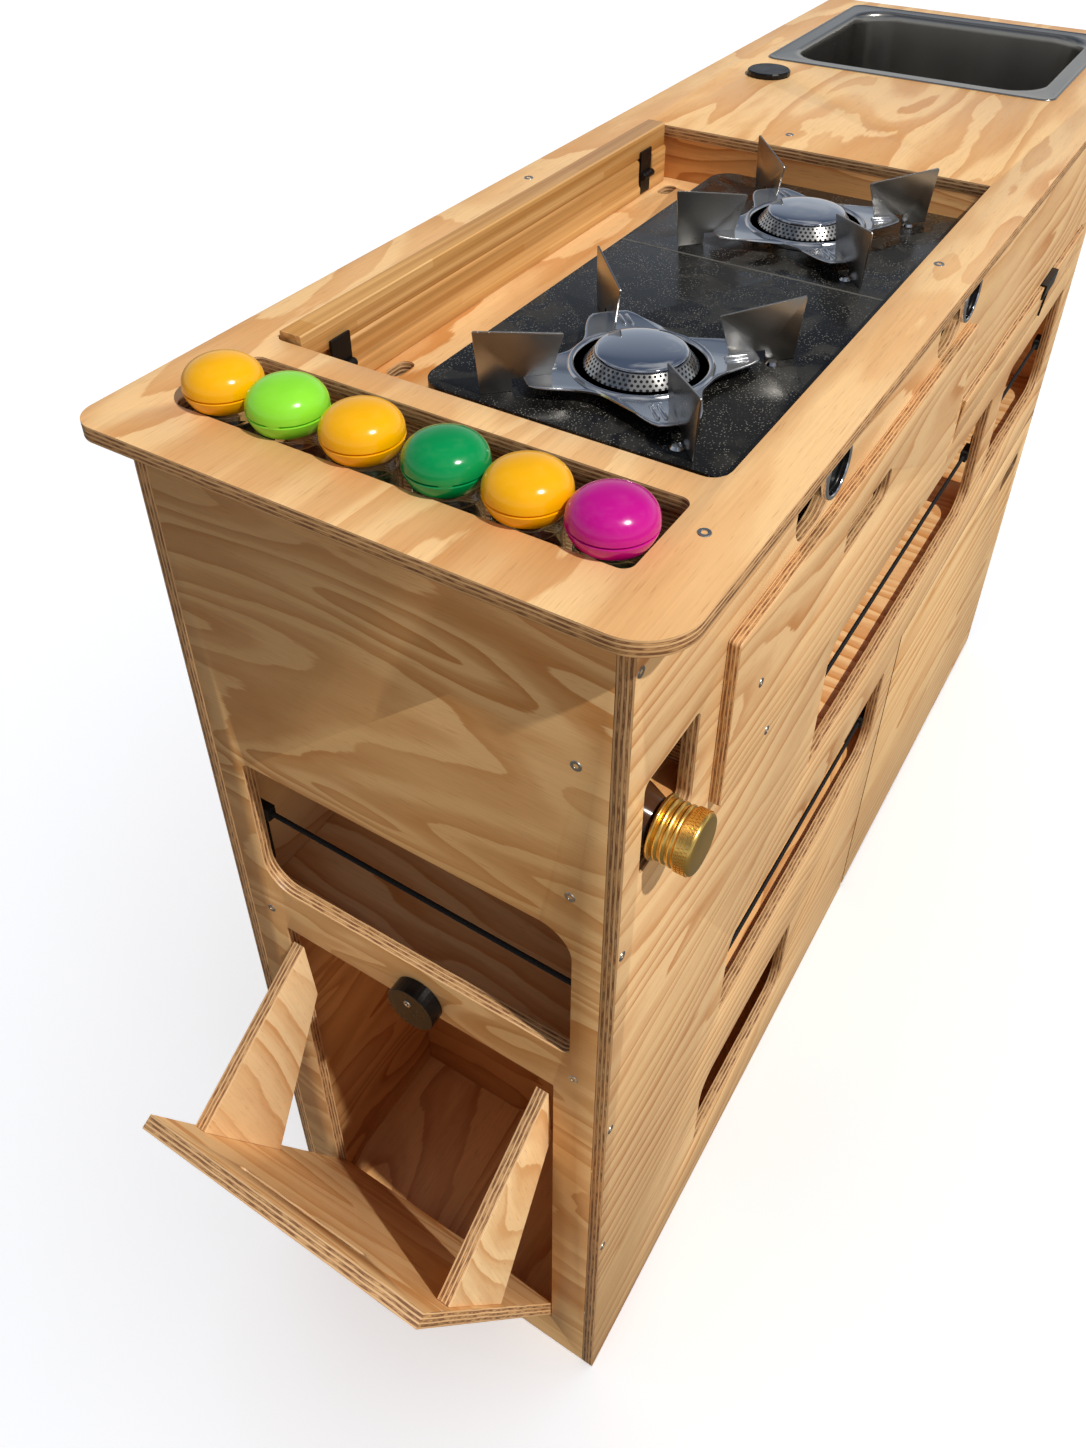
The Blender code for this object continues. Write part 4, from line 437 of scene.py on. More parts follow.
def perforated_steel(name, centre):
    """Stainless band, punched with four rows of holes 1.2 mm across, 58 to a turn.

    The holes are read from the angle and height round the burner and painted near-black, a painted shade
    for the dark inside of the burner, so the eye sees a dark lace.
    """
    made, add, shader = finish_of(name, {})
    placed = add("Mapping", {0: add("TexCoord")["Object"], "Location": tuple(-centre)})[0]
    split = add("SeparateXYZ", {0: placed})
    angle = add("Math", {0: split["Y"], 1: split["X"]}, operation="ARCTAN2")[0]
    foot, pitch, rows = 7.9 * MM, 2.15 * MM, 4.0
    row = {0: split["Z"], 1: foot, 2: foot + rows * pitch, 3: 0.0, 4: rows}
    row = add("MapRange", row, clamp=False)[0]
    number = add("Math", {0: row}, operation="FLOOR")[0]
    stagger = add("Math", {0: number, 1: 2.0}, operation="FLOORED_MODULO")[0]
    stagger = add("Math", {0: stagger, 1: 0.5}, operation="MULTIPLY")[0]
    column = add("Math", {0: angle, 1: 58.0 / math.tau, 2: stagger}, operation="MULTIPLY_ADD")[0]
    column = add("Math", {0: column}, operation="FRACT")[0]
    lift = add("Math", {0: row}, operation="FRACT")[0]
    # from the middle of its own square, as a share of the hole's half width each way
    across = add("MapRange", {0: column, 1: 0.0, 2: 1.0, 3: -1.84, 4: 1.84})[0]
    lift = add("MapRange", {0: lift, 1: 0.0, 2: 1.0, 3: -1.45, 4: 1.45})[0]
    reach = add("CombineXYZ", {0: across, 1: lift})[0]
    reach = add("VectorMath", {0: reach}, operation="LENGTH")["Value"]
    hole = add("Math", {0: reach, 1: 1.0}, operation="LESS_THAN")[0]
    band = add("Math", {0: row, 1: 2.0, 2: 2.0}, operation="COMPARE")[0]
    hole = add("Math", {0: hole, 1: band}, operation="MULTIPLY")[0]
    # the holes are painted near-black: painted shade of the burner's inside
    colour = add("Mix", {0: hole, 6: "#B9B7B3", 7: "#0A0908"})[2]
    solid = add("MapRange", {0: hole, 3: 1.0, 4: 0.0})[0]
    value = add("MapRange", {0: hole, 3: 0.2, 4: 0.9})[0]
    wire(shader, {"Base Color": colour, "Metallic": solid, "Roughness": value})
    return made


def gloss_plastic(name, colour):
    """Polypropylene, injection-moulded in a polished tool: a clean gloss with a few finger marks."""
    made, add, shader = finish_of(name, {"IOR": 1.49})
    place = add("TexCoord")["Object"]
    scuff = add("TexNoise", {0: place, "Detail": 3.0, "Roughness": 0.6}, sizes=7.0)["Fac"]
    value = add("MapRange", {0: scuff, 1: 0.4, 2: 0.75, 3: 0.13, 4: 0.26})[0]
    deep = add("TexNoise", {0: place}, sizes=33.0)["Fac"]
    tint = add("MapRange", {0: deep, 1: 0.3, 2: 0.7, 3: 0.93, 4: 1.05})[0]
    tone = add("Mix", {0: 1.0, 6: colour, 7: tint}, blend_type="MULTIPLY")[2]
    wire(shader, {"Base Color": tone, "Roughness": value})
    return made


def grained(name, colour, roughness, grain=1.1, depth=0.12):
    """Moulded nylon, baked powder coat or satin glass: a fine grain, rubbed smoother in places.

    grain is its size in millimetres, coarser than the real 0.2 mm so that it shows.
    """
    made, add, shader = finish_of(name, {"IOR": 1.47, "Specular IOR Level": 0.32})
    place = add("TexCoord")["Object"]
    fine = add("TexNoise", {0: place}, sizes=grain)["Fac"]
    wear = add("TexNoise", {0: place, "Detail": 4.0, "Roughness": 0.6}, sizes=17.0)["Fac"]
    value = add("MapRange", {0: wear, 1: 0.35, 2: 0.7, 3: roughness * 0.8, 4: roughness * 1.2})[0]
    tint = add("MapRange", {0: wear, 1: 0.3, 2: 0.7, 3: 0.8, 4: 1.3})[0]
    tone = add("Mix", {0: 1.0, 6: colour, 7: tint}, blend_type="MULTIPLY")[2]
    relief = add("Bump", {"Height": fine, "Strength": depth, "Distance": 0.1 * MM})[0]
    wire(shader, {"Base Color": tone, "Roughness": value, "Normal": relief})
    return made


def woven_elastic():
    """Shock cord: rubber in a woven polyester sleeve, matt black with a faint chequer of threads."""
    made, add, shader = finish_of("black_braid", {"IOR": 1.45, "Roughness": 0.8})
    thread = add("TexChecker", {0: add("TexCoord")["Object"]}, sizes=(1.6, 1.6, 0.8))["Fac"]
    tone = add("Mix", {0: thread, 6: "#070707", 7: "#161616"})[2]
    relief = add("Bump", {"Height": thread, "Strength": 0.4, "Distance": 0.2 * MM})[0]
    wire(shader, {"Base Color": tone, "Normal": relief})
    return made


def gold_anodised():
    """Aluminium, turned and anodised gold: a warm metal with rings of tool marks round its axis."""
    made, add, shader = finish_of("gold_anodised_aluminium", {"Metallic": 1.0})
    mark = add("TexNoise", {0: add("TexCoord")["Object"]}, sizes=(25.0, 0.4, 25.0))["Fac"]
    tint = add("MapRange", {0: mark, 1: 0.3, 2: 0.7, 3: 0.95, 4: 1.04})[0]
    tone = add("Mix", {0: 1.0, 6: "#F8CD72", 7: tint}, blend_type="MULTIPLY")[2]
    value = add("MapRange", {0: mark, 1: 0.3, 2: 0.7, 3: 0.24, 4: 0.36})[0]
    relief = add("Bump", {"Height": mark, "Strength": 0.04, "Distance": 0.1 * MM})[0]
    wire(shader, {"Base Color": tone, "Roughness": value, "Normal": relief})
    return made


def clear_glass(name, tint):
    """Soda-lime glass, blown: clear, with slow waves that bend what is behind it."""
    clear = {"Base Color": tint, "Roughness": 0.03, "IOR": 1.5, "Transmission Weight": 1.0}
    made, add, shader = finish_of(name, clear)
    wave = add("TexNoise", {0: add("TexCoord")["Object"]}, sizes=8.0)["Fac"]
    relief = add("Bump", {"Height": wave, "Strength": 0.05, "Distance": 0.1 * MM})[0]
    wire(shader, {"Normal": relief})
    return made


def ground_spice(name, colour, other):
    """Dried leaf or ground pod, crushed: matt crumbs of two tones, drawn 1.9 mm so they show."""
    made, add, shader = finish_of(name, {"Roughness": 0.85})
    crumb = add("TexVoronoi", {0: add("TexCoord")["Object"]}, sizes=1.9)["Color"]
    crumb = add("SeparateXYZ", {0: crumb})["X"]
    tone = add("Mix", {0: crumb, 6: colour, 7: other})[2]
    relief = add("Bump", {"Height": crumb, "Strength": 0.6, "Distance": 0.5 * MM})[0]
    wire(shader, {"Base Color": tone, "Normal": relief})
    return made


# -------------------------------------------------------- small tools for pieces


def plain_mesh(name, work):
    mesh = bpy.data.meshes.new(name)
    work.to_mesh(mesh)
    work.free()
    return mesh


def finished(name, shape, paint, body, instead=(), smooth_angle=35.0):
    """Links a piece, paints it, makes it ride and hides the model pieces it stands in for.

    shape is its mesh, or a bmesh that is welded and turned outwards here.
    """
    mesh = shape
    if isinstance(shape, bmesh.types.BMesh):
        bmesh.ops.remove_doubles(shape, verts=shape.verts, dist=1e-6)
        bmesh.ops.recalc_face_normals(shape, faces=shape.faces)
        mesh = plain_mesh(name, shape)
    piece = bpy.data.objects.new(name, mesh)
    bpy.context.scene.collection.objects.link(piece)
    mesh.materials.clear()
    mesh.materials.append(paint)
    if smooth_angle:
        mesh.shade_smooth()
        mesh.set_sharp_from_angle(angle=math.radians(smooth_angle))
    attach(piece, body)
    if instead:
        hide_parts(*instead)
    return piece


def round_corners(work, cuts=3):
    """Draws the model's few-sided corner arcs finer, each on its own circle."""
    arcs = {}
    for face in work.faces:
        if len(face.verts) < 5:
            continue
        loops = list(face.loops)
        for first, second in zip(loops, loops[1:] + loops[:1]):
            a, b, c = first.vert.co, second.vert.co, second.link_loop_next.vert.co
            one, two = b - a, c - b
            turn = one.angle(two, 0.0)
            uneven = abs(one.length - two.length) > 0.04 * one.length
            if uneven or not math.radians(4.0) < turn < math.radians(40.0):
                continue
            axis = one.cross(two).normalized()
            reach = one.length / (2.0 * math.sin(turn / 2.0))
            inward = (two.normalized() - one.normalized()).normalized()
            centre = b + inward * reach
            for edge in (first.edge, second.edge):
                arcs[edge] = (centre, reach, axis)
    kept = [(edge.verts[0].co.copy(), edge.verts[1].co.copy(), *arcs[edge]) for edge in arcs]
    if not kept:
        return
    made = bmesh.ops.subdivide_edges(work, edges=list(arcs), cuts=cuts, use_grid_fill=True)
    for vert in {item for item in made["geom_inner"] if isinstance(item, bmesh.types.BMVert)}:
        for start, stop, centre, reach, axis in kept:
            along = (vert.co - start).dot(stop - start) / (stop - start).length_squared
            if 0.01 < along < 0.99 and (start.lerp(stop, along) - vert.co).length < 2e-6:
                out = vert.co - centre
                out -= axis * out.dot(axis)
                vert.co = centre + axis * (vert.co - centre).dot(axis) + out.normalized() * reach
                break


def dressed(name, paint, edge=0.35, segments=2):
    """A copy of a model piece with its corners drawn finer and its arrises eased."""
    work = bmesh.new()
    work.from_mesh(nodes[name].data)
    bmesh.ops.remove_doubles(work, verts=work.verts, dist=1e-5)
    bmesh.ops.dissolve_limit(work, angle_limit=math.radians(0.6), verts=work.verts, edges=work.edges)
    round_corners(work)
    eased = name + "_eased"
    body = nodes[name]["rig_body"]
    piece = finished(eased, plain_mesh(eased, work), paint, body, (name,), 0)
    piece.data.shade_smooth()
    easing = piece.modifiers.new("easing", "BEVEL")
    easing.width = edge * MM
    easing.segments = segments
    easing.limit_method = "ANGLE"
    easing.angle_limit = math.radians(40.0)
    easing.harden_normals = True
    return piece


def spun(work, profile, lay, steps):
    """Spins (radius, height) points, in millimetres, round an axis; lay places it."""
    verts = [work.verts.new((radius * MM, 0.0, height * MM)) for radius, height in profile]
    edges = [work.edges.new((a, b)) for a, b in zip(verts, verts[1:])]
    bmesh.ops.spin(
        work,
        geom=verts + edges,
        cent=(0.0, 0.0, 0.0),
        axis=(0.0, 0.0, 1.0),
        angle=math.tau,
        steps=steps,
        use_merge=True,
    )
    fresh = [v for v in work.verts if not v.tag]
    bmesh.ops.transform(work, matrix=lay, verts=fresh)
    for v in fresh:
        v.tag = True


def edges_among(loop):
    """The edges whose two ends are both in a loop of vertices."""
    inside = set(loop)
    return list({edge for v in loop for edge in v.link_edges if edge.other_vert(v) in inside})


def turned(name, profile, lay, paint, body, instead, steps):
    """A piece of its own, spun from its profile."""
    work = bmesh.new()
    spun(work, profile, lay, steps)
    finished(name, work, paint, body, instead)


def upright(place):
    return Matrix.Translation(place)


def facing_front(place):
    """The lay of something whose axis points out of the front."""
    return Matrix.Translation(place) @ Matrix.Rotation(math.pi / 2, 4, "X")


def shift(x, y, z):
    return Matrix.Translation(Vector((x, y, z)) * MM)


def sized(x, y, z):
    return Matrix.Diagonal((x * MM, y * MM, z * MM, 1.0))


def foot_of(name):
    """The middle of a model piece's underside."""
    low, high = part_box(name)
    return Vector(((low[0] + high[0]) / 2, (low[1] + high[1]) / 2, low[2]))


def front_of(name):
    """The middle of a model piece's front."""
    low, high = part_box(name)
    return Vector(((low[0] + high[0]) / 2, low[1], (low[2] + high[2]) / 2))


def bridged(work, rings):
    for outer, inner in zip(rings, rings[1:]):
        bmesh.ops.bridge_loops(work, edges=outer + inner)


def walled(piece, thickness):
    """Gives a drawn sheet its thickness, on the side away from its face."""
    wall = piece.modifiers.new("wall", "SOLIDIFY")
    wall.thickness = thickness * MM
    wall.offset = -1.0


def rounded_loop(work, low, high, inset, radius, depth):
    """A rounded rectangle inside a box, depth under its top: a circle with its quarters moved apart."""
    radius *= MM
    segments = 44
    askew = Matrix.Rotation(math.pi / segments, 4, "Z")
    loop = bmesh.ops.create_circle(work, segments=segments, radius=radius, matrix=askew)["verts"]
    half_x = (high[0] - low[0]) / 2 - inset * MM - radius
    half_y = (high[1] - low[1]) / 2 - inset * MM - radius
    for v in loop:
        v.co.x += math.copysign(half_x, v.co.x)
        v.co.y += math.copysign(half_y, v.co.y)
    middle = ((low[0] + high[0]) / 2, (low[1] + high[1]) / 2, high[2] - depth * MM)
    bmesh.ops.translate(work, vec=middle, verts=loop)
    return edges_among(loop)


def rounded(*points, steps=4):
    """A profile whose (radius, height, rounding) corners are drawn as arcs."""
    drawn = []
    for i, point in enumerate(points):
        here = Vector(point[:2])
        reach = point[2] if len(point) > 2 else 0.0
        if reach <= 0.0 or i in (0, len(points) - 1):
            drawn.append(tuple(here))
            continue
        back = (Vector(points[i - 1][:2]) - here).normalized()
        ahead = (Vector(points[i + 1][:2]) - here).normalized()
        half = math.acos(max(-1.0, min(1.0, back.dot(ahead)))) / 2
        centre = here + (back + ahead).normalized() * (reach / math.sin(half))
        start = here + back * (reach / math.tan(half)) - centre
        stop = here + ahead * (reach / math.tan(half)) - centre
        first = math.atan2(start.y, start.x)
        sweep = (math.atan2(stop.y, stop.x) - first + math.pi) % math.tau - math.pi
        for k in range(steps + 1):
            turn = first + sweep * k / steps
            drawn.append(tuple(centre + Vector((math.cos(turn), math.sin(turn))) * reach))
    return drawn


def screws(name, body, out, places, radius):
    """Countersunk heads, let in flush, each with its six-sided socket."""
    work = bmesh.new()
    out = Vector(out)
    head = rounded(
        (radius * 0.42, -1.2),
        (radius * 0.46, 0.2, 0.1),
        (radius * 0.92, 0.3, 0.1),
        (radius, -0.3),
    )
    for place in places:
        lay = upright(at(*place) + out * 0.2 * MM) @ out.to_track_quat("Z", "Y").to_matrix().to_4x4()
        spun(work, head, lay, 20)
        socket = radius * 0.5 * MM
        bmesh.ops.create_cone(
            work,
            cap_ends=True,
            segments=6,
            radius1=socket,
            radius2=socket,
            depth=0.4 * MM,
            matrix=lay @ shift(0.0, 0.0, -1.2),
        )
        for v in work.verts:
            v.tag = True
    finished(name, plain_mesh(name, work), screw_steel, body)


# -------------------------------------------------------- the finishes
place_camera()
place_light()

X, Y, Z = (1, 0, 0), (0, 1, 0), (0, 0, 1)
lean = math.radians(24.5)
flap_out = Vector((math.cos(lean), 0.0, math.sin(lean)))
cheek_up = Vector((-math.sin(lean), 0.0, math.cos(lean))) + flap_out * 0.22
tip = math.radians(5.0)
sink_flap_in = Vector((0.0, math.cos(tip), math.sin(tip)))

ply_of = {
    "worktop": plywood("worktop", X, Z, at(0, 0, 0.853), 0.0, 7.0, lines=0.18, figure=TOP),
    "near_end_panel": plywood(
        "end", Y, X, at(0, 0, 0), 3.1, 12.0, figure=END, straight=1.1, lines=0.3, wild=1.9
    ),
    "far_end_panel": plywood("far_end", Y, X, at(1.132, 0, 0), 8.3, 9.0, wild=2.6),
    "front_panel": plywood(
        "front", X, Y, at(0, 0, 0), 5.7, 10.0, figure=FRONT, straight=1.5, lines=0.55, drift=42.0
    ),
    "back_panel": plywood("back", X, Y, at(0, 0.310, 0), 9.9),
    "hob_deck": plywood("deck", X, Z, at(0, 0, 0.8065), 25.3),
    "drawer_front": plywood(
        "drawer", X, Y, at(0, -0.0083, 0), 12.4, 10.0, 8.0, FRONT, straight=1.5, lines=0.55, drift=48.0
    ),
    "sink_flap": plywood(
        "sink_flap", X, sink_flap_in, at(0, 0, 0.6246), 21.0, 8.0, figure=FRONT, straight=1.6, drift=50.0
    ),
    # the door takes the darker edges: painted shade in the gap beside it
    "cupboard_door": plywood(
        "door", X, Y, at(0, 0, 0), 17.2, 9.0, figure=DOOR, straight=1.6, drift=45.0, edges=DOOR_EDGES_PAINTED_SHADE
    ),
    "bin_flap": plywood("bin_flap", Y, flap_out, at(0.005, 0, 0.0525) - flap_out * 0.005, 29.6),
    "bin_cheek_front": plywood(
        "front_cheek", cheek_up, Y, at(0, 0.046, 0), 33.0, figure=CHEEK, drift=58.0
    ),
    "bin_cheek_back": plywood(
        "back_cheek", cheek_up, Y, at(0, 0.264, 0), 38.8, figure=CHEEK, drift=58.0
    ),
}
# the inner panels take the darker palette: painted shade
level_ply = plywood("inner_level", X, Z, at(0, 0, 0), 41.0, 9.0, figure=INNER_PAINTED_SHADE)
shelf_ply = plywood("shelf", Y, Z, at(0, 0, 0), 43.0, lines=0.35, drift=58.0)
upright_ply = plywood("inner_upright", Y, X, at(0, 0, 0), 46.0, 9.0, figure=INNER_PAINTED_SHADE)
long_ply = plywood("inner_long", X, Y, at(0, 0, 0), 51.0, 9.0, figure=INNER_PAINTED_SHADE)
light_bamboo = bamboo_strip("bamboo_cover_board", 0.0)
rail_bamboo = bamboo_strip("bamboo_rail", 4.0)
enamel = enamel_plate()
fold_enamel = grained("worn_enamel_fold", "#5A5751", 0.3)
blade_steel = brushed_steel("brushed_blade_steel", "#A9A7A3", 0.29, (4.3, 4.3, 1.0), 0.006)
drip_steel = brushed_steel("polished_drip_steel", "#D9DADC", 0.14, (16.0, 16.0, 16.0), 0.0, 0.1)
sink_steel = brushed_steel("satin_sink_steel", "#A09D97", 0.24, (45.0, 45.0, 900.0), 0.0, 0.2)
knob_steel = brushed_steel("satin_knob_steel", "#BDBAB5", 0.28, (1.7, 8.3, 1.7))
mirror = polished_metal("mirror_polished_steel", "#D8DADF", 0.04)
screw_steel = brushed_steel("zinc_screw_steel", "#B4B2AC", 0.32, (2.5, 2.5, 2.5))
black_moulding = grained("black_moulded_nylon", "#070708", 0.3)
black_coat = grained("black_powder_coat", "#0C0B0B", 0.45, 2.0, 0.2)
chrome = polished_metal("chromed_rim", "#D4D6DA", 0.07)
braid = woven_elastic()
gold = gold_anodised()
glass = clear_glass("clear_soda_glass", "#EEF2EC")
amber = grained("brown_glass_bottle", "#4A2C16", 0.14, 17.0, 0.02)

# -------------------------------------------------------- panels
for name, paint in ply_of.items():
    dressed(name, paint)
dressed("board_rail", rail_bamboo)
dressed("cover_board", light_bamboo)
for name, paint in (
    ("base_panel", level_ply),
    ("upper_shelf", shelf_ply),
    ("drawer_shelf", shelf_ply),
    ("drawer_runner", level_ply),
    ("bin_divider", upright_ply),
    ("bay_divider", upright_ply),
    ("sink_divider", upright_ply),
    ("bin_side_panel", long_ply),
    ("cupboard_frame", level_ply),
    ("jar_bay", level_ply),
    ("drawer_box", long_ply),
):
    dressed(name, paint, 0.3, 1)

# the door's gap and the drawer's finger slot are as wide as the real ones
DOOR_SIDE_GAP, DOOR_TOP_GAP, SLOT_DROP = 4.2 * MM, 1.4 * MM, 11.0 * MM
door_low, door_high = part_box("cupboard_door")
for v in bpy.data.objects["cupboard_door_eased"].data.vertices:
    if v.co.x < door_low[0] + 0.1 * MM:
        v.co.x += DOOR_SIDE_GAP
    if v.co.z > door_high[2] - 0.1 * MM:
        v.co.z -= DOOR_TOP_GAP
slot_start, slot_end = at(0.28, 0.0, 0.7250), at(0.40, 0.0, 0.7330)
for v in bpy.data.objects["drawer_front_eased"].data.vertices:
    if slot_start.x < v.co.x < slot_end.x and slot_start.z < v.co.z < slot_end.z:
        v.co.z -= SLOT_DROP

# -------------------------------------------------------- hob
dressed("hob_body", enamel, 1.4, 3)
FOLD_START = at(0.414, 0.0150, 0.84102)
FOLD_LENGTH = 0.2205
fold = bmesh.new()
round_edge = ((-1.1, 0.0), (-0.6, 0.28), (0.0, 0.36), (0.6, 0.28), (1.1, 0.0))
row = [fold.verts.new(FOLD_START + Vector((across, 0.0, rise)) * MM) for across, rise in round_edge]
edges = [fold.edges.new(pair) for pair in zip(row, row[1:])]
pulled = bmesh.ops.extrude_edge_only(fold, edges=edges)["geom"]
pulled = [v for v in pulled if isinstance(v, bmesh.types.BMVert)]
bmesh.ops.translate(fold, vec=(0.0, FOLD_LENGTH, 0.0), verts=pulled)
finished("hob_plate_fold", fold, fold_enamel, "carcass", (), 60)

QUARTER_TURN = [math.pi / 2 * k / 12 for k in range(13)]
ring_profile = rounded(
    (27.8, 16.5),
    (29.6, 16.5, 0.8),
    (36.9, 7.2, 1.6),
    (37.2, 6.2, 0.4),
    (37.0, 4.6, 0.6),
    (34.0, 4.0),
    (34.0, 0.0),
    (32.5, 0.0),
)
dome = [(28.8 * math.sin(turn), 1.2 + 2.6 * math.cos(turn)) for turn in QUARTER_TURN]
dome += [(28.8, 0.4), (28.4, 0.0), (0.0, 0.0)]
# the drip plate's loops, from its lobed edge to its hole: inset or radius, and height
PLATE_LOOPS = (
    (0.0, None, -1.0),
    (0.4, None, -0.2),
    (1.4, None, 0.2),
    (3.0, None, -0.1),
    (None, 45.2, -0.1),
    (None, 44.5, 0.6),
    (None, 43.6, 1.0),
    (None, 42.7, 0.6),
    (None, 41.9, -0.4),
    (None, 41.7, -1.6),
)
for side in ("near", "far"):
    ring, cap, support = "burner_ring_" + side, "burner_cap_" + side, "pan_support_" + side
    centre = foot_of(ring)
    ring_paint = perforated_steel("perforated_steel_" + side, centre)
    lay = upright(centre)
    turned(ring + "_pressed", ring_profile, lay, ring_paint, "carcass", (ring,), 96)
    lay = upright((centre.x, centre.y, foot_of(cap).z))
    turned(cap + "_domed", dome, lay, mirror, "carcass", (cap,), 96)

    # the solid's flat plate comes away from the blades, and a pressed one takes its place
    plate = foot_of(support).z + 7.5 * MM
    blades = dressed(support, blade_steel, 0.25, 2)
    shaved = bmesh.new()
    shaved.from_mesh(blades.data)
    reach = {v: math.hypot(v.co.x - centre.x, v.co.y - centre.y) for v in shaved.verts}
    drop = [
        face
        for face in shaved.faces
        if all(plate - 8.5 * MM < v.co.z < plate + 1.4 * MM and reach[v] < 75.2 * MM for v in face.verts)
        and (abs(face.normal.z) > 0.9 or min(reach[v] for v in face.verts) < 44.0 * MM)
    ]
    bmesh.ops.delete(shaved, geom=drop, context="FACES")
    shaved.to_mesh(blades.data)
    shaved.free()
    pressing = bmesh.new()
    rings = []
    for inset, radius, lift in PLATE_LOOPS:
        loop = bmesh.ops.create_circle(pressing, segments=120, radius=1.0)["verts"]
        for v in loop:
            lobe = min(1.0, 1.22 * abs(2 * v.co.x * v.co.y) ** 3.4)
            v.co *= (radius or 47.0 + 27.5 * lobe - inset) * MM
        bmesh.ops.translate(pressing, vec=(centre.x, centre.y, plate + (1.2 + lift) * MM), verts=loop)
        rings.append(edges_among(loop))
    bridged(pressing, rings)
    sheet = finished(support + "_plate", pressing, drip_steel, support, (), 60)
    walled(sheet, 0.9)

    ribs = bmesh.new()
    for arm in range(4):
        out = Matrix.Rotation(math.radians(45.0 + 90.0 * arm), 4, "Z")
        lay = upright((centre.x, centre.y, plate)) @ out
        for aside in (-5.2, -9.8):
            rib = bmesh.ops.create_uvsphere(ribs, u_segments=20, v_segments=10, radius=1.0)["verts"]
            for v in rib:
                v.co.x += math.copysign(4.4, v.co.x) if abs(v.co.x) > 0.01 else 0.0
            shape = lay @ shift(60.8 + 0.2 * aside, aside, 1.2) @ sized(1.5, 1.5, 1.0)
            bmesh.ops.transform(ribs, matrix=shape, verts=rib)
        bmesh.ops.create_cone(
            ribs,
            cap_ends=True,
            segments=20,
            radius1=4.2 * MM,
            radius2=3.0 * MM,
            depth=1.8 * MM,
            matrix=lay @ shift(85.0, -4.2, -6.6),
        )
    finished(support + "_ribs", ribs, drip_steel, support)

# -------------------------------------------------------- knobs
drum = rounded((19.4, -4.4), (19.2, -6.0), (18.0, -17.6, 1.2), (15.0, -19.5), (0.0, -19.5))
rim = rounded((16.8, -0.8), (17.2, 0.0, 0.4), (19.8, 0.0, 1.0), (20.0, -4.5, 1.2), (19.2, -4.8))
cup = rounded((17.0, -0.6), (16.6, -4.0, 1.6), (0.0, -4.4))
for side in ("near", "far"):
    knob = "hob_knob_" + side
    lay = facing_front(front_of(knob))
    turned(knob + "_drum", drum, lay, knob_steel, knob, (knob,), 72)
    turned(knob + "_rim", rim, lay, chrome, knob, (), 72)
    turned(knob + "_cup", cup, lay, black_moulding, knob, (), 72)

# -------------------------------------------------------- jars
paints = {
    "magenta": gloss_plastic("magenta_gloss_plastic", "#C60C8C"),
    "yellow": gloss_plastic("yellow_gloss_plastic", "#FBB400"),
    "green": gloss_plastic("green_gloss_plastic", "#00914C"),
    "lime": gloss_plastic("lime_gloss_plastic", "#8FE335"),
}
spices = [
    ground_spice("ground_pepper", "#4A3A2A", "#8B7A62"),
    ground_spice("dried_herbs", "#3F4A26", "#7C8250"),
    ground_spice("ground_chilli", "#7C2E14", "#B0562A"),
]
# a ball lid: its dome, the seam round its middle, then the collar that grips the glass
shell = [(23.1 * math.sin(turn) ** 0.86, 10.8 + 15.1 * math.cos(turn) ** 0.94) for turn in QUARTER_TURN]
shell += [(23.1, 10.0), (22.8, 9.7), (21.6, 9.5), (21.4, 9.2), (21.6, 8.9), (22.9, 8.7), (23.1, 8.3)]
shell += [(22.6, 6.2), (21.5, 3.6), (20.0, 1.0), (19.3, 0.0), (17.2, 0.0), (17.2, 4.0), (0.0, 4.8)]
blown = rounded(
    (16.5, 114.0),
    (16.5, 109.5),
    (19.2, 108.8, 0.6),
    (19.2, 106.2, 0.6),
    (17.2, 105.0, 0.6),
    (19.0, 101.0, 1.5),
    (19.0, 1.0, 1.0),
    (17.5, 0.0),
    (0.0, 0.0),
    (0.0, 2.5),
    (17.0, 2.5, 1.0),
    (17.2, 99.5, 2.0),
    (14.6, 104.5, 1.0),
    (14.6, 114.0),
    (16.5, 114.0),
)
filling = [(0.0, 88.0), (10.0, 87.5), (16.0, 85.5), (16.8, 84.0), (16.8, 3.5), (0.0, 3.2)]
# each jar's number, its lid's colour and where the lid's tab points, in degrees
for number, tone, tab_turn in (
    (1, "magenta", -48.0),
    (2, "yellow", -20.0),
    (3, "green", 215.0),
    (4, "yellow", -35.0),
    (5, "lime", 200.0),
    (6, "yellow", -28.0),
):
    jar, jar_glass, lid = ("%s_%d" % (kind, number) for kind in ("jar", "jar_glass", "jar_lid"))
    centre = foot_of(lid)
    turned(lid + "_shell", shell, upright(centre), paints[tone], lid, (lid,), 72)
    tab = bmesh.new()
    lay = upright(centre) @ Matrix.Rotation(math.radians(tab_turn), 4, "Z")
    shape = lay @ shift(21.9, 0.0, 9.3) @ sized(1.2, 4.0, 2.2)
    bmesh.ops.create_uvsphere(tab, u_segments=16, v_segments=8, radius=1.0, matrix=shape)
    finished(lid + "_tab", tab, paints[tone], lid)
    lay = upright((centre.x, centre.y, foot_of(jar_glass).z))
    turned(jar_glass + "_blown", blown, lay, glass, jar, (jar_glass,), 48)
    turned(jar + "_spice", filling, lay, spices[number % 3], jar, (), 32)

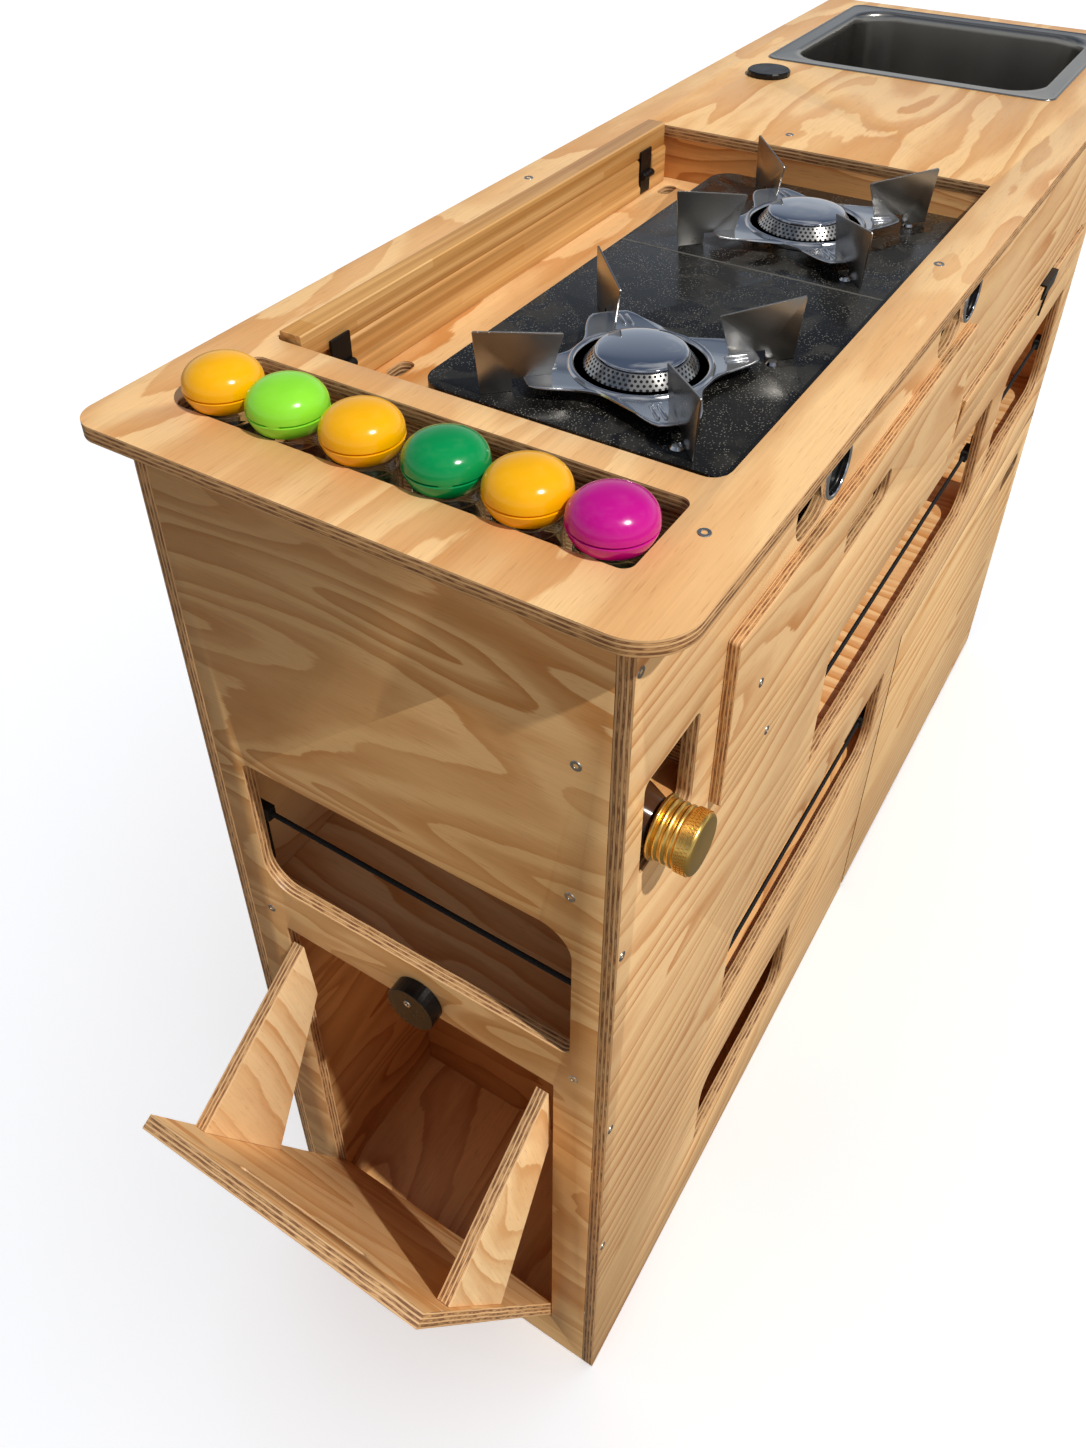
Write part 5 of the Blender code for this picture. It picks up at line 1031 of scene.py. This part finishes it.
# -------------------------------------------------------- bottle
lay = facing_front(front_of("bottle_cap"))
cap = rounded((0.0, 0.0), (18.7, 0.0, 2.2), (18.7, -10.0, 0.3), (17.2, -10.3))
for groove in range(3):
    top = -10.6 - 4.4 * groove
    bead = ((17.2, 0.0), (18.0, 0.5), (18.6, 1.4), (18.6, 2.4), (18.0, 3.3), (17.2, 3.8))
    cap += [(radius, top - drop) for radius, drop in bead]
cap += rounded((17.0, -24.0), (19.6, -24.0, 0.6), (19.6, -26.2, 0.6), (13.0, -26.5))
cap += [(13.0, -1.0), (0.0, -1.0)]
turned("bottle_cap_turned", cap, lay, gold, "bottle_cap", ("bottle_cap",), 72)
STUDS_ROUND = 54
knurl = bmesh.new()
for k in range(STUDS_ROUND):
    for row in range(3):
        turn = Matrix.Rotation(math.tau * (k + 0.33 * row) / STUDS_ROUND, 4, "Z")
        stud = lay @ turn @ shift(18.8, 0.0, -3.4 - 2.4 * row) @ sized(0.9, 1.4, 1.9)
        bmesh.ops.create_cube(knurl, size=1.0, matrix=stud)
finished("bottle_cap_knurl", knurl, gold, "bottle_cap")
low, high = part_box("bottle")
foot = 0.2 - (high[1] - low[1]) / MM
bottle = rounded(
    (0.0, -0.2),
    (12.6, -0.2),
    (12.6, -19.0, 1.0),
    (15.0, -20.0, 1.0),
    (20.6, -33.0, 6.0),
    (20.8, foot, 3.0),
    (0.0, foot),
)
lay = facing_front(front_of("bottle"))
turned("bottle_blown", bottle, lay, amber, "bottle", ("bottle",), 64)

# -------------------------------------------------------- plain carried-over pieces
for name, paint in (
    ("bin_hinge_rod", screw_steel),
    ("door_hinge", screw_steel),
    ("flap_pull", black_moulding),
    ("tap_hole_cap", black_moulding),
    ("turn_button", black_moulding),
    ("end_cord", braid),
    ("long_cord", braid),
    ("shelf_cord", braid),
    ("sink_cord", braid),
):
    nodes[name].data.materials.clear()
    nodes[name].data.materials.append(paint)

# -------------------------------------------------------- cord bracket and strap hinges
bracket = bmesh.new()
lay = upright(at(0.0120, 0.2950, 0.5260))
bmesh.ops.create_cube(bracket, size=1.0, matrix=lay @ sized(3.4, 12.0, 58.0))
bmesh.ops.bevel(
    bracket, geom=bracket.edges, offset=0.8 * MM, affect="EDGES", segments=3, profile=0.5, material=-1
)
finished("end_cord_bracket", bracket, black_moulding, "carcass")
BOARD_FACE = at(0.0, 0.2979, 0.0).y
HINGE_PIN = 0.8335
# each leaf's foot, top and width, and each knuckle's start and run along the pin
LEAVES = ((0.8352, 0.8552, 0.0185), (0.8180, 0.8318, 0.0165))
KNUCKLES = ((-0.0080, 0.0050), (-0.0027, 0.0054), (0.0030, 0.0062))
for side, offset in (("near", 0.0045), ("far", 0.0)):
    hinge = "strap_hinge_" + side
    middle = foot_of(hinge).x + offset
    hardware = bmesh.new()
    for foot, top, width in LEAVES:
        lay = upright((middle, BOARD_FACE - 0.9 * MM, (foot + top) / 2))
        shape = lay @ Matrix.Diagonal((width, 1.8 * MM, top - foot, 1.0))
        bmesh.ops.create_cube(hardware, size=1.0, matrix=shape)
    for start, run in KNUCKLES:
        lay = upright((middle + start + run / 2, BOARD_FACE - 2.8 * MM, HINGE_PIN))
        bmesh.ops.create_cone(
            hardware,
            cap_ends=True,
            segments=24,
            radius1=3.2 * MM,
            radius2=3.2 * MM,
            depth=run,
            matrix=lay @ Matrix.Rotation(math.pi / 2, 4, "Y"),
        )
    strap = finished(hinge + "_leaves", hardware, black_coat, "carcass", (hinge,))
    edge = strap.modifiers.new("edge", "BEVEL")
    edge.width = 0.4 * MM
    edge.segments = 2
    edge.limit_method = "ANGLE"

# -------------------------------------------------------- sink
low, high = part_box("sink_bowl")
# each loop's inset from the rim, corner radius and depth under the rim
bowl_loops = [
    (0.0, 13.0, 1.4),
    (0.0, 13.0, 0.6),
    (0.6, 12.8, 0.1),
    (1.8, 12.4, 0.0),
    (3.0, 12.2, 0.4),
    (4.4, 12.2, 0.6),
    (15.0, 30.0, 0.6),
    (16.8, 39.0, 1.0),
    (18.4, 40.0, 2.4),
    (19.4, 40.0, 5.0),
    (19.8, 40.0, 10.0),
    (26.2, 38.0, 108.0),
]
for k in range(1, 7):
    turn = k / 6 * math.pi / 2
    inset, depth = 26.2 + 20.0 * (1 - math.cos(turn)), 108.0 + 19.0 * math.sin(turn)
    bowl_loops.append((inset, 38.0 - 14.0 * k / 6, depth))
bowl_loops.append((80.0, 24.0, 128.5))
bowl = bmesh.new()
rings = [rounded_loop(bowl, low, high, *loop) for loop in bowl_loops]
bridged(bowl, rings)
bmesh.ops.edgenet_fill(bowl, edges=rings[-1])
sink = finished("sink_bowl_pressed", bowl, sink_steel, "carcass", ("sink_bowl",), 60)
walled(sink, 0.8)
waste = rounded(
    (0.0, -1.5),
    (15.0, -1.5),
    (19.0, 0.2, 1.0),
    (31.0, 1.2, 1.0),
    (34.0, 1.2, 0.6),
    (34.5, 0.0),
)
drain = upright(((low[0] + high[0]) / 2, (low[1] + high[1]) / 2, high[2] - 129.0 * MM))
turned("sink_waste", waste, drain, drip_steel, "carcass", (), 64)

# -------------------------------------------------------- screws
screws(
    "worktop_screws",
    "carcass",
    Z,
    ((0.075, 0.005, 0.863), (0.442, 0.005, 0.863), (0.435, 0.334, 0.863), (0.642, 0.198, 0.863)),
    3.8,
)
screws(
    "end_screws",
    "carcass",
    (-1, 0, 0),
    ((0, 0.030, 0.755), (0, 0.032, 0.647), (0, 0.290, 0.451), (0, 0.027, 0.458)),
    3.6,
)
screws(
    "front_screws",
    "carcass",
    (0, -1, 0),
    ((0.005, 0, 0.830), (0.005, 0, 0.610), (0.005, 0, 0.412), (0.005, 0, 0.233), (0.605, 0, 0.704)),
    3.4,
)
screws("turn_button_screw", "turn_button", (-1, 0, 0), ((-0.0124, 0.1535, 0.4550),), 3.0)
screws("drawer_screws", "drawer", (0, -1, 0), ((0.154, -0.0083, 0.708), (0.18, -0.0083, 0.645)), 3.4)
